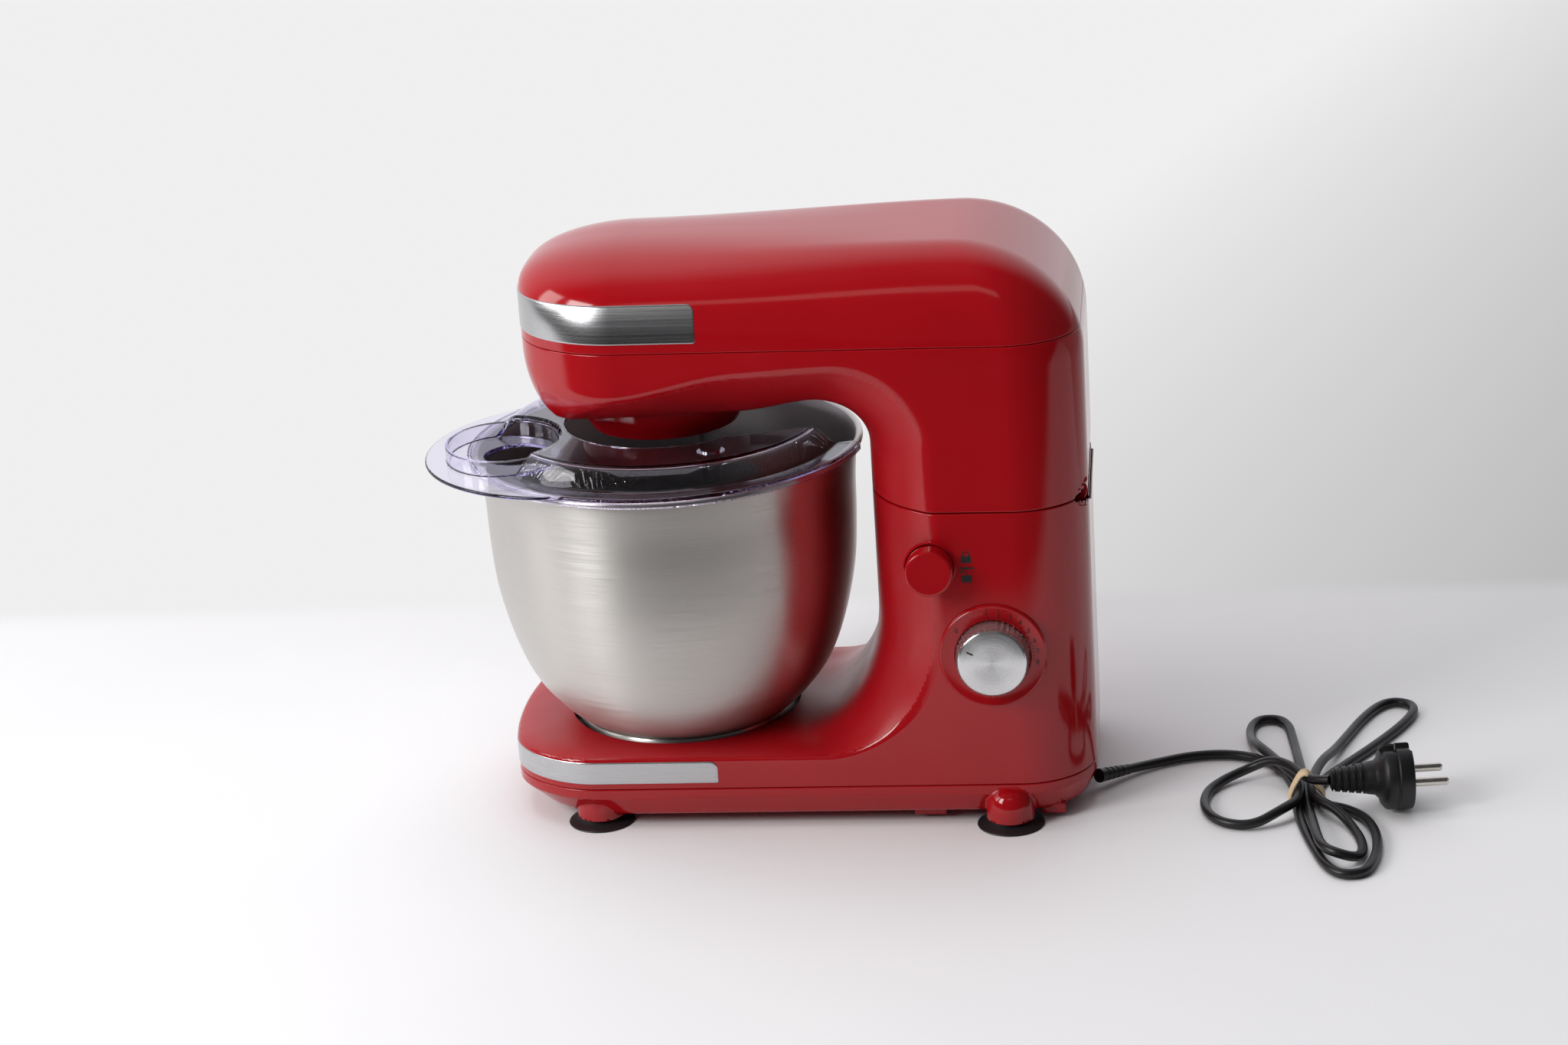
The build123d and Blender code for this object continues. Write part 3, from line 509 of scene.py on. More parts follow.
def tray_shape(x, y, z):
    """Tray with sloping sides, foot bosses and four small blocks below."""
    front = ease((-70.0 - x) / 60.0)
    plan = base_plan(x, y) + np.maximum(19.5 - z, 0) * (0.42 + 0.75 * front)
    f = round_max(plan, 7.0 - z, 3.0)
    for cx, cy in ((-94.0, 67.0), (137.0, 80.0)):
        far = np.hypot(x - cx, np.abs(y) - cy)
        up = np.maximum(z - 4.0, 0.0)
        boss = ((far / 13.4) ** 3 + (up / 18.5) ** 3 + 1e-9) ** (1 / 3) * 13.4 - 13.4
        f = -round_max(-f, -np.maximum(boss, 4.0 - z), 0.6)
    for x0, x1, low in ((83.0, 101.0, 3.0), (154.0, 167.0, 2.6)):
        block = np.maximum(np.abs(x - (x0 + x1) / 2) - (x1 - x0) / 2, np.abs(np.abs(y) - 70.0) - 4.0)
        f = np.minimum(f, np.maximum(round_max(block, low - z, 0.8), z - 9.0))
    return f


# ---- meshing
def mesh_implicit(shape, low, high, step):
    """Quads round the zero surface of shape: a vertex in each crossed cell, moved onto it."""
    low, high = np.array(low, float), np.array(high, float)
    cells = np.maximum(np.round((high - low) / step).astype(int), 2)
    pitch = (high - low) / cells
    axes = [low[k] + pitch[k] * np.arange(cells[k] + 1) for k in range(3)]
    gx, gy, gz = np.meshgrid(*axes, indexing="ij")
    inside = shape(gx, gy, gz) < 0
    count = np.zeros(cells, dtype=np.int8)
    for p in (0, 1):
        for q in (0, 1):
            for r in (0, 1):
                count += inside[p:p + cells[0], q:q + cells[1], r:r + cells[2]]
    active = (count > 0) & (count < 8)
    number = np.full(cells, -1)
    number[active] = np.arange(active.sum())
    verts = low + pitch * (np.argwhere(active) + 0.5)
    faces = []
    for axis in range(3):
        u, v = [k for k in range(3) if k != axis]
        near, far = [slice(None)] * 3, [slice(None)] * 3
        near[axis], far[axis] = slice(0, -1), slice(1, None)
        a, b = inside[tuple(near)], inside[tuple(far)]
        at = np.argwhere(a != b)
        at = at[(at[:, u] > 0) & (at[:, u] < cells[u]) & (at[:, v] > 0) & (at[:, v] < cells[v])]
        leaving = a[tuple(at.T)]
        quad = []
        for p, q in ((1, 1), (0, 1), (0, 0), (1, 0)):
            c = at.copy()
            c[:, u] -= p
            c[:, v] -= q
            quad.append(number[tuple(c.T)])
        quad = np.array(quad).T
        turn = ~leaving if axis != 1 else leaving
        quad[turn] = quad[turn][:, ::-1]
        faces.append(quad)
    faces = np.concatenate(faces)
    verts = settle(shape, verts, min(pitch))
    return verts, faces


def unit(vectors):
    return vectors / np.maximum(np.linalg.norm(vectors, axis=1, keepdims=True), 1e-9)


def slope(shape, p, h=0.02):
    """Value and gradient of shape at rows of points."""
    value = shape(p[:, 0], p[:, 1], p[:, 2])
    grad = np.empty_like(p)
    for k in range(3):
        q, r = p.copy(), p.copy()
        q[:, k] += h
        r[:, k] -= h
        grad[:, k] = (shape(q[:, 0], q[:, 1], q[:, 2]) - shape(r[:, 0], r[:, 1], r[:, 2])) / (2 * h)
    return value, grad


def settle(shape, verts, step, rounds=5, flat=False):
    """Newton steps onto the surface, level ones only where flat is set."""
    for _ in range(rounds):
        value, grad = slope(shape, verts)
        if flat:
            grad[:, 2] = 0.0
        size = np.maximum((grad ** 2).sum(axis=1), 1e-3)
        move = -(value / size)[:, None] * grad
        length = np.linalg.norm(move, axis=1, keepdims=True)
        verts = verts + move * np.minimum(1.0, 0.6 * step / np.maximum(length, 1e-9))
    return verts


def trim(verts, faces, planes):
    """Cut away what lies past each plane; planes are (height, side kept)."""
    bm = bmesh.new()
    made = [bm.verts.new(v) for v in verts]
    for f in faces:
        bm.faces.new([made[i] for i in f])
    for height, keep in planes:
        geom = bm.verts[:] + bm.edges[:] + bm.faces[:]
        bmesh.ops.bisect_plane(bm, geom=geom, dist=0.0005, plane_co=(0, 0, height),
                               plane_no=(0, 0, -keep), clear_outer=True)
    bm.verts.index_update()
    verts = np.array([v.co for v in bm.verts])
    faces = [[v.index for v in f.verts] for f in bm.faces]
    bm.free()
    return verts, faces


def boundary_edges(faces):
    """Directed edges that belong to one face only."""
    edges = {}
    for f in faces:
        for a, b in zip(f, f[1:] + f[:1]):
            if (b, a) in edges:
                del edges[(b, a)]
            else:
                edges[(a, b)] = True
    return list(edges)


def loops_of(edges):
    """Directed edges joined into closed loops."""
    after = dict(edges)
    loops = []
    while after:
        start, at = next(iter(after.items()))
        loop = [start]
        del after[start]
        while at != start and at in after:
            loop.append(at)
            at = after.pop(at)
        loops.append(loop)
    return loops


def cut_holes(verts, faces, holes, step):
    """Open round holes (x, y, radius, z0, z1) and move their edges onto true circles."""
    for cx, cy, radius, z0, z1 in holes:
        far = np.hypot(verts[:, 0] - cx, verts[:, 1] - cy)
        gone = (far < radius) & (verts[:, 2] > z0) & (verts[:, 2] < z1)
        faces = [f for f in faces if not all(gone[i] for i in f)]
        for i in {i for pair in boundary_edges(faces) for i in pair}:
            if abs(far[i] - radius) < 2.5 * step and z0 < verts[i, 2] < z1:
                verts[i, 0] = cx + (verts[i, 0] - cx) * radius / far[i]
                verts[i, 1] = cy + (verts[i, 1] - cy) * radius / far[i]
    used = sorted({i for f in faces for i in f})
    index = {old: new for new, old in enumerate(used)}
    return verts[used], [[index[i] for i in f] for f in faces]


def joined(rings):
    """Quads between rows of vertices that each close on themselves."""
    n = len(rings[0])
    return [[b[k], b[(k + 1) % n], a[(k + 1) % n], a[k]] for a, b in zip(rings, rings[1:]) for k in range(n)]


def shell_piece(name, shape, box, step, planes, holes, body, nodes, satin=None, wall=2.6, lip=0.7):
    """One moulded shell in gloss red. planes are (height, side kept, closed), and each edge there is
    rounded by lip. satin is a pair of shapes: faces on the first and inside the second are satin."""
    verts, faces = mesh_implicit(shape, *box, step)
    verts, faces = trim(verts, faces, [(z + lip * keep, keep) for z, keep, closed in planes])
    verts, faces = cut_holes(verts, faces, holes, step)
    level = np.zeros(len(verts), dtype=bool)
    for z, keep, closed in planes:
        level |= np.abs(verts[:, 2] - z - lip * keep) < 0.01
    verts[level] = settle(shape, verts[level], step, 4, flat=True)
    normals = unit(slope(shape, verts)[1])
    n = len(verts)
    all_verts, all_normals = [verts, verts - wall * normals], [normals, -normals]
    out_faces = [list(f) for f in faces] + [[i + n for i in reversed(f)] for f in faces]
    total = 2 * n
    for loop in loops_of(boundary_edges(faces)):
        ids = np.array(loop)
        match = [p for p in planes if np.all(np.abs(verts[ids, 2] - p[0] - lip * p[1]) < 0.01)]
        rings = [ids]
        if match:
            z, keep, closed = match[0]
            out = unit(normals[ids] * (1, 1, 0))
            down = np.array((0, 0, keep))
            rows = [(verts[ids] - out * lip * (1 - math.cos(a)) - down * lip * math.sin(a),
                     out * math.cos(a) - down * math.sin(a)) for a in (math.pi / 6, math.pi / 3, math.pi / 2)]
            if not closed:
                rows.append((verts[ids] - out * wall - down * lip, np.tile(-1.0 * down, (len(ids), 1))))
            for spots, facing in rows:
                all_verts.append(spots)
                all_normals.append(facing)
                rings.append(total + np.arange(len(ids)))
                total += len(ids)
            if closed:
                out_faces += joined(rings) + [list(rings[-1])[::-1], list(ids + n)]
                continue
        out_faces += joined(rings + [ids + n])
    obj = mesh_object(name, np.concatenate(all_verts), out_faces)
    obj.data.shade_smooth()
    obj.data.normals_split_custom_set_from_vertices(np.concatenate(all_normals).tolist())
    paint(obj, "red_gloss")
    if satin:
        obj.data.materials.append(MATS["red_satin"])
        middle = np.array([np.mean(verts[f], axis=0) for f in faces])
        inner, outer = satin
        cut = (np.abs(inner(*middle.T)) < 0.5) & (outer(*middle.T) < -1.6)
        for k in np.flatnonzero(cut):
            obj.data.polygons[int(k)].material_index = 1
    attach(obj, body)
    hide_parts(*nodes)


def build_body(step):
    shell_piece("head_lower", head_shape, ((-128, -88, 181.5), (188, 88, 277.0)), step,
                [(HINGE_Z + 0.3, 1, True), (SEAM - SPLIT_GAP, -1, False)], [(BX, 0, 43.0, 200, 240)],
                "head", ["head_lower_shell"],
                (lambda x, y, z: by_slope(head_inner, x, y, z), head_upper))
    shell_piece("head_upper", head_shape, ((-128, -88, 272.5), (188, 88, 326.5)), step,
                [(SEAM + SPLIT_GAP, 1, False)], [], "head", ["head_top_shell"])
    shell_piece("column", base_shape, ((-150, -88, 22.5), (188, 88, 184.5)), step,
                [(HINGE_Z - 0.3, -1, True), (TRAY_TOP + SPLIT_GAP, 1, False)], [(BX, 0, 66.0, 35, 60)],
                "base", ["column_shell", "base_shell"],
                (lambda x, y, z: by_slope(base_inner, x, y, z), lambda x, y, z: base_plan(x, y)))
    shell_piece("tray", tray_shape, ((-150, -96, 1.0), (188, 96, 27.5)), step,
                [(TRAY_TOP - SPLIT_GAP, -1, False)], [], "base", ["base_tray"])


# ---- mesh helpers for the small parts
def through(points, per_span=8):
    """Smooth row of points through the given ones (Catmull-Rom)."""
    p = np.array(points, float)
    p = np.vstack([2 * p[0] - p[1], p, 2 * p[-1] - p[-2]])
    out = []
    for a, b, c, d in zip(p, p[1:], p[2:], p[3:]):
        for t in np.arange(per_span) / per_span:
            out.append(0.5 * (2 * b + (c - a) * t + (2 * a - 5 * b + 4 * c - d) * t * t
                              + (3 * b - a - 3 * c + d) * t ** 3))
    out.append(p[-2])
    return np.array(out)


def lengths(points):
    """Length along a line of points, up to each of them."""
    return np.concatenate([[0], np.cumsum(np.linalg.norm(np.diff(points, axis=0), axis=1))])


def mesh_of(data):
    """Mesh made from a curve or from text."""
    obj = bpy.data.objects.new("holder", data)
    bpy.context.scene.collection.objects.link(obj)
    bpy.context.view_layer.update()
    mesh = bpy.data.meshes.new_from_object(obj)
    bpy.data.objects.remove(obj)
    return mesh


def arc(cx, cy, radius, start, end, steps=6):
    angles = np.radians(np.linspace(start, end, steps + 1))
    return [(cx + radius * math.cos(a), cy + radius * math.sin(a)) for a in angles]


def turned(name, outline, origin, axes, steps=96, closed=False, radius=None):
    """Turned part. outline is (radius, height); axes are the two cross axes and the turning axis."""
    outline = [tuple(p) for p in outline]
    u, v, w = (np.array(a, float) for a in axes)
    verts, faces, rows = [], [], []
    for r, h in outline:
        if r < 1e-6:
            rows.append([len(verts)] * steps)
            verts.append(np.array(origin) + w * h)
            continue
        rows.append(list(range(len(verts), len(verts) + steps)))
        for k in range(steps):
            a = 2 * math.pi * k / steps
            rr = r if radius is None else radius(r, h, a)
            verts.append(np.array(origin) + u * rr * math.cos(a) + v * rr * math.sin(a) + w * h)
    pairs = list(zip(rows, rows[1:])) + ([(rows[-1], rows[0])] if closed else [])
    for a, b in pairs:
        for k in range(steps):
            m = (k + 1) % steps
            quad = [a[k], a[m], b[m], b[k]]
            face = [i for n, i in enumerate(quad) if i not in quad[:n]]
            if len(face) > 2:
                faces.append(face)
    return mesh_object(name, verts, faces)


UP = ((1, 0, 0), (0, 1, 0), (0, 0, 1))
OUT_SIDE = ((1, 0, 0), (0, 0, 1), (0, -1, 0))


def piece(obj, body, slot, *nodes, angle=35.0):
    bm = bmesh.new()
    bm.from_mesh(obj.data)
    bmesh.ops.recalc_face_normals(bm, faces=bm.faces[:])
    bm.to_mesh(obj.data)
    bm.free()
    smooth(obj, angle)
    paint(obj, slot)
    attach(obj, body)
    if nodes:
        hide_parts(*nodes)
    return obj


def surface_at(shape, centre, angle, height):
    """Distance from an upright axis to the surface, straight out at the given angle."""
    near, far = np.full(np.shape(angle), 12.0), np.full(np.shape(angle), 150.0)
    for _ in range(40):
        mid = (near + far) / 2
        inside = shape(centre + mid * np.cos(angle), mid * np.sin(angle), height) < 0
        near, far = np.where(inside, mid, near), np.where(inside, far, mid)
    return (near + far) / 2


def wrap_strip(name, shape, end_x, low, high, corner, proud, inside=1.0, grow=0.0):
    """Metal strip round the nose, its ends at end_x, with the upper end corners rounded."""
    angles = np.linspace(-math.pi / 2, -3 * math.pi / 2, 721)
    far = surface_at(shape, end_x, angles, np.full(721, (low + high) / 2))
    path = np.stack([end_x + far * np.cos(angles), far * np.sin(angles)], axis=1)
    along = lengths(path)
    total = along[-1]
    ends = np.array([0, 0.12, 0.3, 0.6, 1.0, 1.5, 2.1, 2.8, 3.6, 4.5, 5.5, 7.0])
    spots = np.concatenate([ends, np.linspace(9.0, total - 9.0, 150), total - ends[::-1]])
    near_end = np.minimum(spots, total - spots)
    angle = np.interp(spots, along, angles)
    top = high + grow - (corner - np.sqrt(corner ** 2 - np.maximum(corner - near_end, 0) ** 2))
    bottom = low - grow + (1.2 - np.sqrt(1.2 ** 2 - np.maximum(1.2 - near_end, 0) ** 2))
    rows = [0.0, 0.02, 0.05, 0.2, 0.4, 0.6, 0.8, 0.95, 0.98, 1.0]
    verts, faces = [], []
    n, m = len(spots), len(rows)
    for layer in (proud, -inside):
        for i, t in enumerate(rows):
            z = bottom + (top - bottom) * t
            edge = np.minimum(np.minimum(t, 1 - t) * (high - low), near_end)
            out = layer if layer < 0 else proud - 0.3 * np.clip(1 - edge / 0.35, 0, 1)
            r = surface_at(shape, end_x, angle, z) + out
            x = end_x + r * np.cos(angle)
            x = np.where(near_end < 1e-6, end_x + grow, x)
            verts += list(np.stack([x, r * np.sin(angle), z], axis=1))
    for i in range(m - 1):
        for k in range(n - 1):
            a = i * n + k
            faces.append((a, a + 1, a + n + 1, a + n))
            b = a + m * n
            faces.append((b, b + n, b + n + 1, b + 1))
    rim = list(range(n)) + [i * n + n - 1 for i in range(1, m)] + \
        [(m - 1) * n + k for k in range(n - 2, -1, -1)] + [i * n for i in range(m - 2, 0, -1)]
    for a, b in zip(rim, rim[1:] + rim[:1]):
        faces.append((a, a + m * n, b + m * n, b))
    return mesh_object(name, verts, faces)


def build_bands():
    """Metal bands round the noses of the head and the base, each framed by a thin black strip that is painted
    shadow for the gap round the band.
    """
    def base_side(x, y, z):
        return base_plan(x, y) + 0 * z

    for body, shape, end_x, low, high in (("head", head_upper, BX + 31.0, 280.5, 301.0),
                                          ("base", base_side, BX + 27.0, 28.5, 41.3)):
        strip = wrap_strip(body + "_band", shape, end_x, low, high, 4.5, 0.35)
        piece(strip, body, "band_steel", body + "_trim_band", angle=50)
        # Painted shadow: a thin black strip, a little larger than the band, stands in for the shade in the gap
        # round it.
        painted_shadow_strip = wrap_strip(body + "_band_painted_shadow", shape, end_x, low, high, 4.8, 0.05, 0.9, 0.3)
        piece(painted_shadow_strip, body, "inner_black", angle=50)


# ---- splash lid
LID_TURN = math.radians(18.0)


def lid_shape(x, y, z):
    """Clear lid in its own straight position: ring, raised plateau, tongue, chute rim and slot."""
    far = np.hypot(x, y)
    t = np.clip((far - 88.0) / 13.0, 0.0, 1.0)
    top = 216.5 - 11.5 * ease(t)
    oval = (np.sqrt(((x + 92.0) / 32.5) ** 2 + (y / 38.0) ** 2) - 1.0) * 34.0
    sheet_top = np.where(oval < 0.0, 205.0, top)
    sheet = np.maximum(z - sheet_top, sheet_top - 1.9 - z) * np.where(t * (1 - t) > 0, 0.78, 1.0)
    rim = np.maximum(np.abs(oval + 0.9) - 0.9, np.maximum(z - 213.5, 203.2 - z))
    tongue = np.hypot(x + 47.0, y) - 89.3
    disc = np.minimum(far - 112.0, tongue)
    flat = round_max(sheet, disc, 0.9)
    f = np.minimum(flat, rim)
    skirt = np.maximum(np.abs(far - 111.1) - 0.9, np.maximum(z - 204.5, 199.7 - z))
    f = np.minimum(f, skirt)
    f = np.maximum(f, 57.0 - far)                                # opening round the hub
    f = np.maximum(f, 18.5 - np.hypot(x + 85.0, y))              # filler hole
    slot = np.maximum(-x, np.abs(y) - 51.0)
    return np.maximum(f, -slot)


def build_lid(step):
    verts, faces = mesh_implicit(lid_shape, (-138.0, -114.0, 198.0), (114.0, 114.0, 218.0), step)
    normals = unit(slope(lid_shape, verts)[1])
    cos, sin = math.cos(LID_TURN), math.sin(LID_TURN)
    turn = np.array(((cos, sin, 0), (-sin, cos, 0), (0, 0, 1)))
    lid = mesh_object("lid", verts @ turn + (BX, 0, 0), faces)
    lid.data.shade_smooth()
    lid.data.normals_split_custom_set_from_vertices((normals @ turn).tolist())
    paint(lid, "lid_clear")
    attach(lid, "lid")
    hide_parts("splash_lid")


# ---- bowl and feet
def build_bowl():
    wall = through([(58.5, 44.6), (61.2, 46.2), (66.5, 50.0), (74.6, 58.5), (84.2, 71.0), (91.3, 86.0),
                    (97.7, 107.0), (102.2, 130.0), (104.0, 155.0), (104.6, 178.0), (106.3, 197.2)], 8)
    inner = [(r - 1.0, z + 0.9 * (200.0 - z) / 155.0) for r, z in wall[::-1]]
    outline = [(0, 46.0), (54.0, 46.0), (56.5, 45.6), (57.2, 44.2)] + [tuple(p) for p in wall]
    outline += arc(107.8, 200.6, 2.2, -130, 150, 18) + inner[1:-6] + [(56.0, 47.3), (0, 47.0)]
    bowl = turned("bowl", outline, (BX, 0, 0), UP, steps=192)
    piece(bowl, "bowl", "bowl_steel", "mixing_bowl", angle=40)
    # Inward faces and the inner bottom take the inside material, whose colour carries painted shade.
    bowl.data.materials.append(MATS["bowl_inside"])
    for face in bowl.data.polygons:
        out = Vector((face.center.x - BX / 1000, face.center.y, 0.0)).normalized()
        if face.normal.dot(out) < -0.3 or (face.normal.z > 0.5 and face.center.z < 0.06):
            face.material_index = 1
    ring = turned("bowl_foot_ring", [(61.4, 41.0), (61.8, 41.6), (61.8, 44.4), (61.2, 45.4), (58.8, 45.2),
                                     (58.6, 41.2)], (BX, 0, 0), UP, steps=160, closed=True)
    piece(ring, "bowl", "bowl_steel", "bowl_foot")


def build_hub_and_hinge():
    """Collar under the head, and the three knuckles of the tilt hinge."""
    outline = [(47.6, 234.5), (47.4, 228.0), (46.6, 225.2), (42.0, 217.4), (41.2, 215.9), (40.6, 215.6),
               (38.4, 215.6), (38.2, 216.2), (38.2, 234.5)]
    collar = turned("hub_cone", outline, (BX, 0, 0), UP, steps=128, closed=True)
    piece(collar, "head", "red_gloss", "hub_collar")
    for label, body, low, high in (("head", "head", -29.5, 29.5), ("near", "base", 30.1, HINGE_HALF),
                                   ("far", "base", -HINGE_HALF, -30.1)):
        ring = [(3.4, low), (5.9, low), (6.5, low + 0.6), (6.5, high - 0.6), (5.9, high), (3.4, high)]
        knuckle = turned("hinge_knuckle_" + label, ring, (HINGE_X, 0, HINGE_Z), OUT_SIDE,
                         steps=48, closed=True)
        piece(knuckle, body, "red_gloss")


def build_feet():
    for n, (x, y) in enumerate(((-94.0, -67.0), (-94.0, 67.0), (137.0, -80.0), (137.0, 80.0))):
        outline = [(0, 0.7), (15.6, 0.5), (17.6, 0.0), (18.4, 0.1), (18.7, 0.5), (18.5, 0.9), (17.4, 1.25),
                   (16.6, 1.3), (13.6, 2.1), (11.5, 2.9), (10.8, 3.9), (0, 4.0)]
        foot = turned("suction_cup_%d" % n, outline, (x, y, 0), UP, steps=72)
        piece(foot, "base", "foot_rubber", *(["suction_feet"] if n == 0 else []))


# ---- controls
LOCK = (99.2, -84.5, 153.0)
DIAL = (131.3, -84.5, 101.8)


def side_point(x, z, proud=0.06):
    near, far = 60.0, 90.0
    for _ in range(30):
        mid = (near + far) / 2
        if base_plan(np.array(x), np.array(-mid)) < 0:
            near = mid
        else:
            far = mid
    return (x, -(near + proud), z)


def flat_mark(name, outlines, place, body, slot="mark_black", depth=0.2):
    """Printed mark: thin closed plates from plane outlines, put on a surface by place(u, v, out)."""
    verts, faces = [], []
    for outline in outlines:
        n, start = len(outline), len(verts)
        verts += [place(u, v, 0.06) for u, v in outline] + [place(u, v, 0.06 - depth) for u, v in outline]
        faces.append(tuple(range(start, start + n)))
        faces.append(tuple(range(start + 2 * n - 1, start + n - 1, -1)))
        faces += [(start + k, start + n + k, start + n + (k + 1) % n, start + (k + 1) % n) for k in range(n)]
    return piece(mesh_object(name, verts, faces), body, slot)


def padlock(cx, cz, is_open):
    body = [(cx - 2.7, cz - 3.1), (cx + 2.7, cz - 3.1), (cx + 2.7, cz + 0.9), (cx - 2.7, cz + 0.9)]
    hinge = -1.9 if is_open else 0.0
    outer, inner = [], []
    for k in range(13):
        a = math.pi * k / 12
        outer.append((cx + hinge + 2.0 * math.cos(a), cz + 1.7 + 2.0 * math.sin(a)))
        inner.append((cx + hinge + 1.3 * math.cos(a), cz + 1.7 + 1.3 * math.sin(a)))
    low = cz + 0.9
    shapes = [body]
    for (a, b), (c, d) in zip(zip(outer, outer[1:]), zip(inner, inner[1:])):
        shapes.append([a, b, d, c])
    shapes.append([(outer[0][0] - 0.7, low), (outer[0][0], low), outer[0], inner[0]])
    if not is_open:
        shapes.append([(outer[-1][0], low), (outer[-1][0] + 0.7, low), inner[-1], outer[-1]])
    return shapes


def number_outlines(text, height):
    """Faces of a built-in font character as plane outlines, centred on the origin."""
    data = bpy.data.curves.new("glyph", "FONT")
    data.body = text
    data.size = height
    data.align_x, data.align_y = "CENTER", "CENTER"
    mesh = mesh_of(data)
    shapes = [[(mesh.vertices[i].co.x, mesh.vertices[i].co.y) for i in f.vertices] for f in mesh.polygons]
    bpy.data.meshes.remove(mesh)
    return shapes


def build_controls():
    outline = [(0, 11.4), (9.0, 11.3), (11.0, 11.4)] + arc(11.5, 10.0, 1.4, 85, 0, 6) + \
        [(13.0, 1.4), (12.6, 0.9), (4.0, 0.9), (4.0, -12.5), (0, -12.5)]
    piece(turned("lock_button", outline, LOCK, OUT_SIDE), "lock", "red_gloss", "lock_knob")
    outline = [(13.25, -1.0), (13.25, 0.2), (13.6, 0.45), (14.0, 0.3), (14.3, -0.3), (14.3, -2.0), (5.0, -2.0),
               (5.0, -1.0)]
    piece(turned("lock_socket", outline, LOCK, OUT_SIDE, closed=True), "base", "red_gloss", "lock_collar")
    outline = [(20.6, -1.0), (20.6, 1.3), (21.0, 1.7), (27.2, 1.7), (27.8, 1.9), (28.4, 1.95), (28.9, 1.6),
               (29.3, 0.9), (29.5, -0.2), (29.5, -1.5)]
    piece(turned("dial_plate", outline, DIAL, OUT_SIDE, steps=160, closed=True), "base", "red_gloss",
          "dial_ring")

    def scallop(r, h, a):
        return r - (0.7 * abs(math.sin(20 * a)) ** 0.7 if r > 18.75 else 0.0)

    outline = [(3.2, 0.6), (20.4, 0.6), (20.5, 2.0), (20.3, 3.0), (19.9, 11.0), (19.75, 11.8), (19.5, 12.1),
               (18.65, 12.2), (18.65, 9.6), (3.2, 9.6)]
    piece(turned("dial_knob_skirt", outline, DIAL, OUT_SIDE, steps=320, closed=True, radius=scallop),
          "dial", "dial_clear", "dial_skirt", angle=60)
    outline = [(0, 13.0), (10.0, 13.0), (17.6, 12.95), (18.2, 12.8), (18.6, 12.35), (18.6, 9.7), (0, 9.7)]
    piece(turned("dial_knob_cap", outline, DIAL, OUT_SIDE, steps=160), "dial", "dial_silver", "dial_cap")

    def on_dial(height):
        return lambda u, v, out: (DIAL[0] + u, DIAL[1] - height - out, DIAL[2] + v)

    turn = math.radians(153)
    along = np.array((math.cos(turn), math.sin(turn)))
    across = np.array((-math.sin(turn), math.cos(turn)))
    bar = [tuple(along * r + across * w)
           for r, w in ((11.4, 0.45), (11.4, -0.45), (15.2, -0.45), (15.2, 0.45))]
    flat_mark("dial_index", [bar], on_dial(13.0), "dial")

    shapes = []
    for n in range(9):
        a = math.radians(142 if n == 0 else 110.5 - 15 * n)
        for glyph in number_outlines(str(n), 3.9):
            shapes.append([(24.4 * math.cos(a) + u, 24.4 * math.sin(a) + v) for u, v in glyph])
    for k in range(22):
        a = math.radians(99.5 - 5 * k)
        out, side = np.array((math.cos(a), math.sin(a))), np.array((-math.sin(a), math.cos(a))) * 0.24
        shapes.append([tuple(out * 21.7 + side), tuple(out * 21.7 - side), tuple(out * 22.6 - side),
                       tuple(out * 22.6 + side)])
    flat_mark("dial_scale", shapes, on_dial(1.7), "base")

    dash = [(115.0, 151.4), (122.8, 151.4), (122.8, 152.6), (115.0, 152.6)]
    flat_mark("lock_marks", padlock(118.9, 158.1, False) + [dash] + padlock(118.9, 147.0, True), side_point,
              "base")


# ---- things on the cord
def tube(name, points, radii, sides=20):
    """Closed tube along a row of points, with a radius at each."""
    points = np.array(points, float)
    ahead = np.gradient(points, axis=0)
    ahead /= np.linalg.norm(ahead, axis=1, keepdims=True)
    side = np.cross(ahead[0], (0, 0, 1.0))
    side /= np.linalg.norm(side)
    verts = []
    for p, t, r in zip(points, ahead, radii):
        side = side - t * side.dot(t)
        side /= np.linalg.norm(side)
        other = np.cross(t, side)
        for k in range(sides):
            a = 2 * math.pi * k / sides
            verts.append(p + r * (side * math.cos(a) + other * math.sin(a)))
    faces = [(i * sides + k, i * sides + (k + 1) % sides, (i + 1) * sides + (k + 1) % sides,
              (i + 1) * sides + k) for i in range(len(points) - 1) for k in range(sides)]
    faces += [tuple(range(sides - 1, -1, -1)), tuple(range(len(verts) - sides, len(verts)))]
    return mesh_object(name, verts, faces)


def build_boot(cord):
    """Ribbed strain relief that follows the first stretch of the cord."""
    plain = cord.data.copy()
    plain.bevel_depth = 0.0
    mesh = mesh_of(plain)
    line = np.array([v.co for v in mesh.vertices]) * 1000
    bpy.data.meshes.remove(mesh)
    along = lengths(line)
    spots = np.arange(0.0, 24.5, 0.5)
    line = np.stack([np.interp(spots, along, line[:, k]) for k in range(3)], axis=1)
    radii = 4.1 - 1.15 * spots / 24.0 - 0.42 * (np.sin(spots * 2 * math.pi / 4.0) > 0.1) * (spots > 3)
    radii = np.maximum(radii, 2.95)
    boot = tube("cord_boot", line, radii)
    return piece(boot, "base", "cord_black", "cord_gland", angle=30)


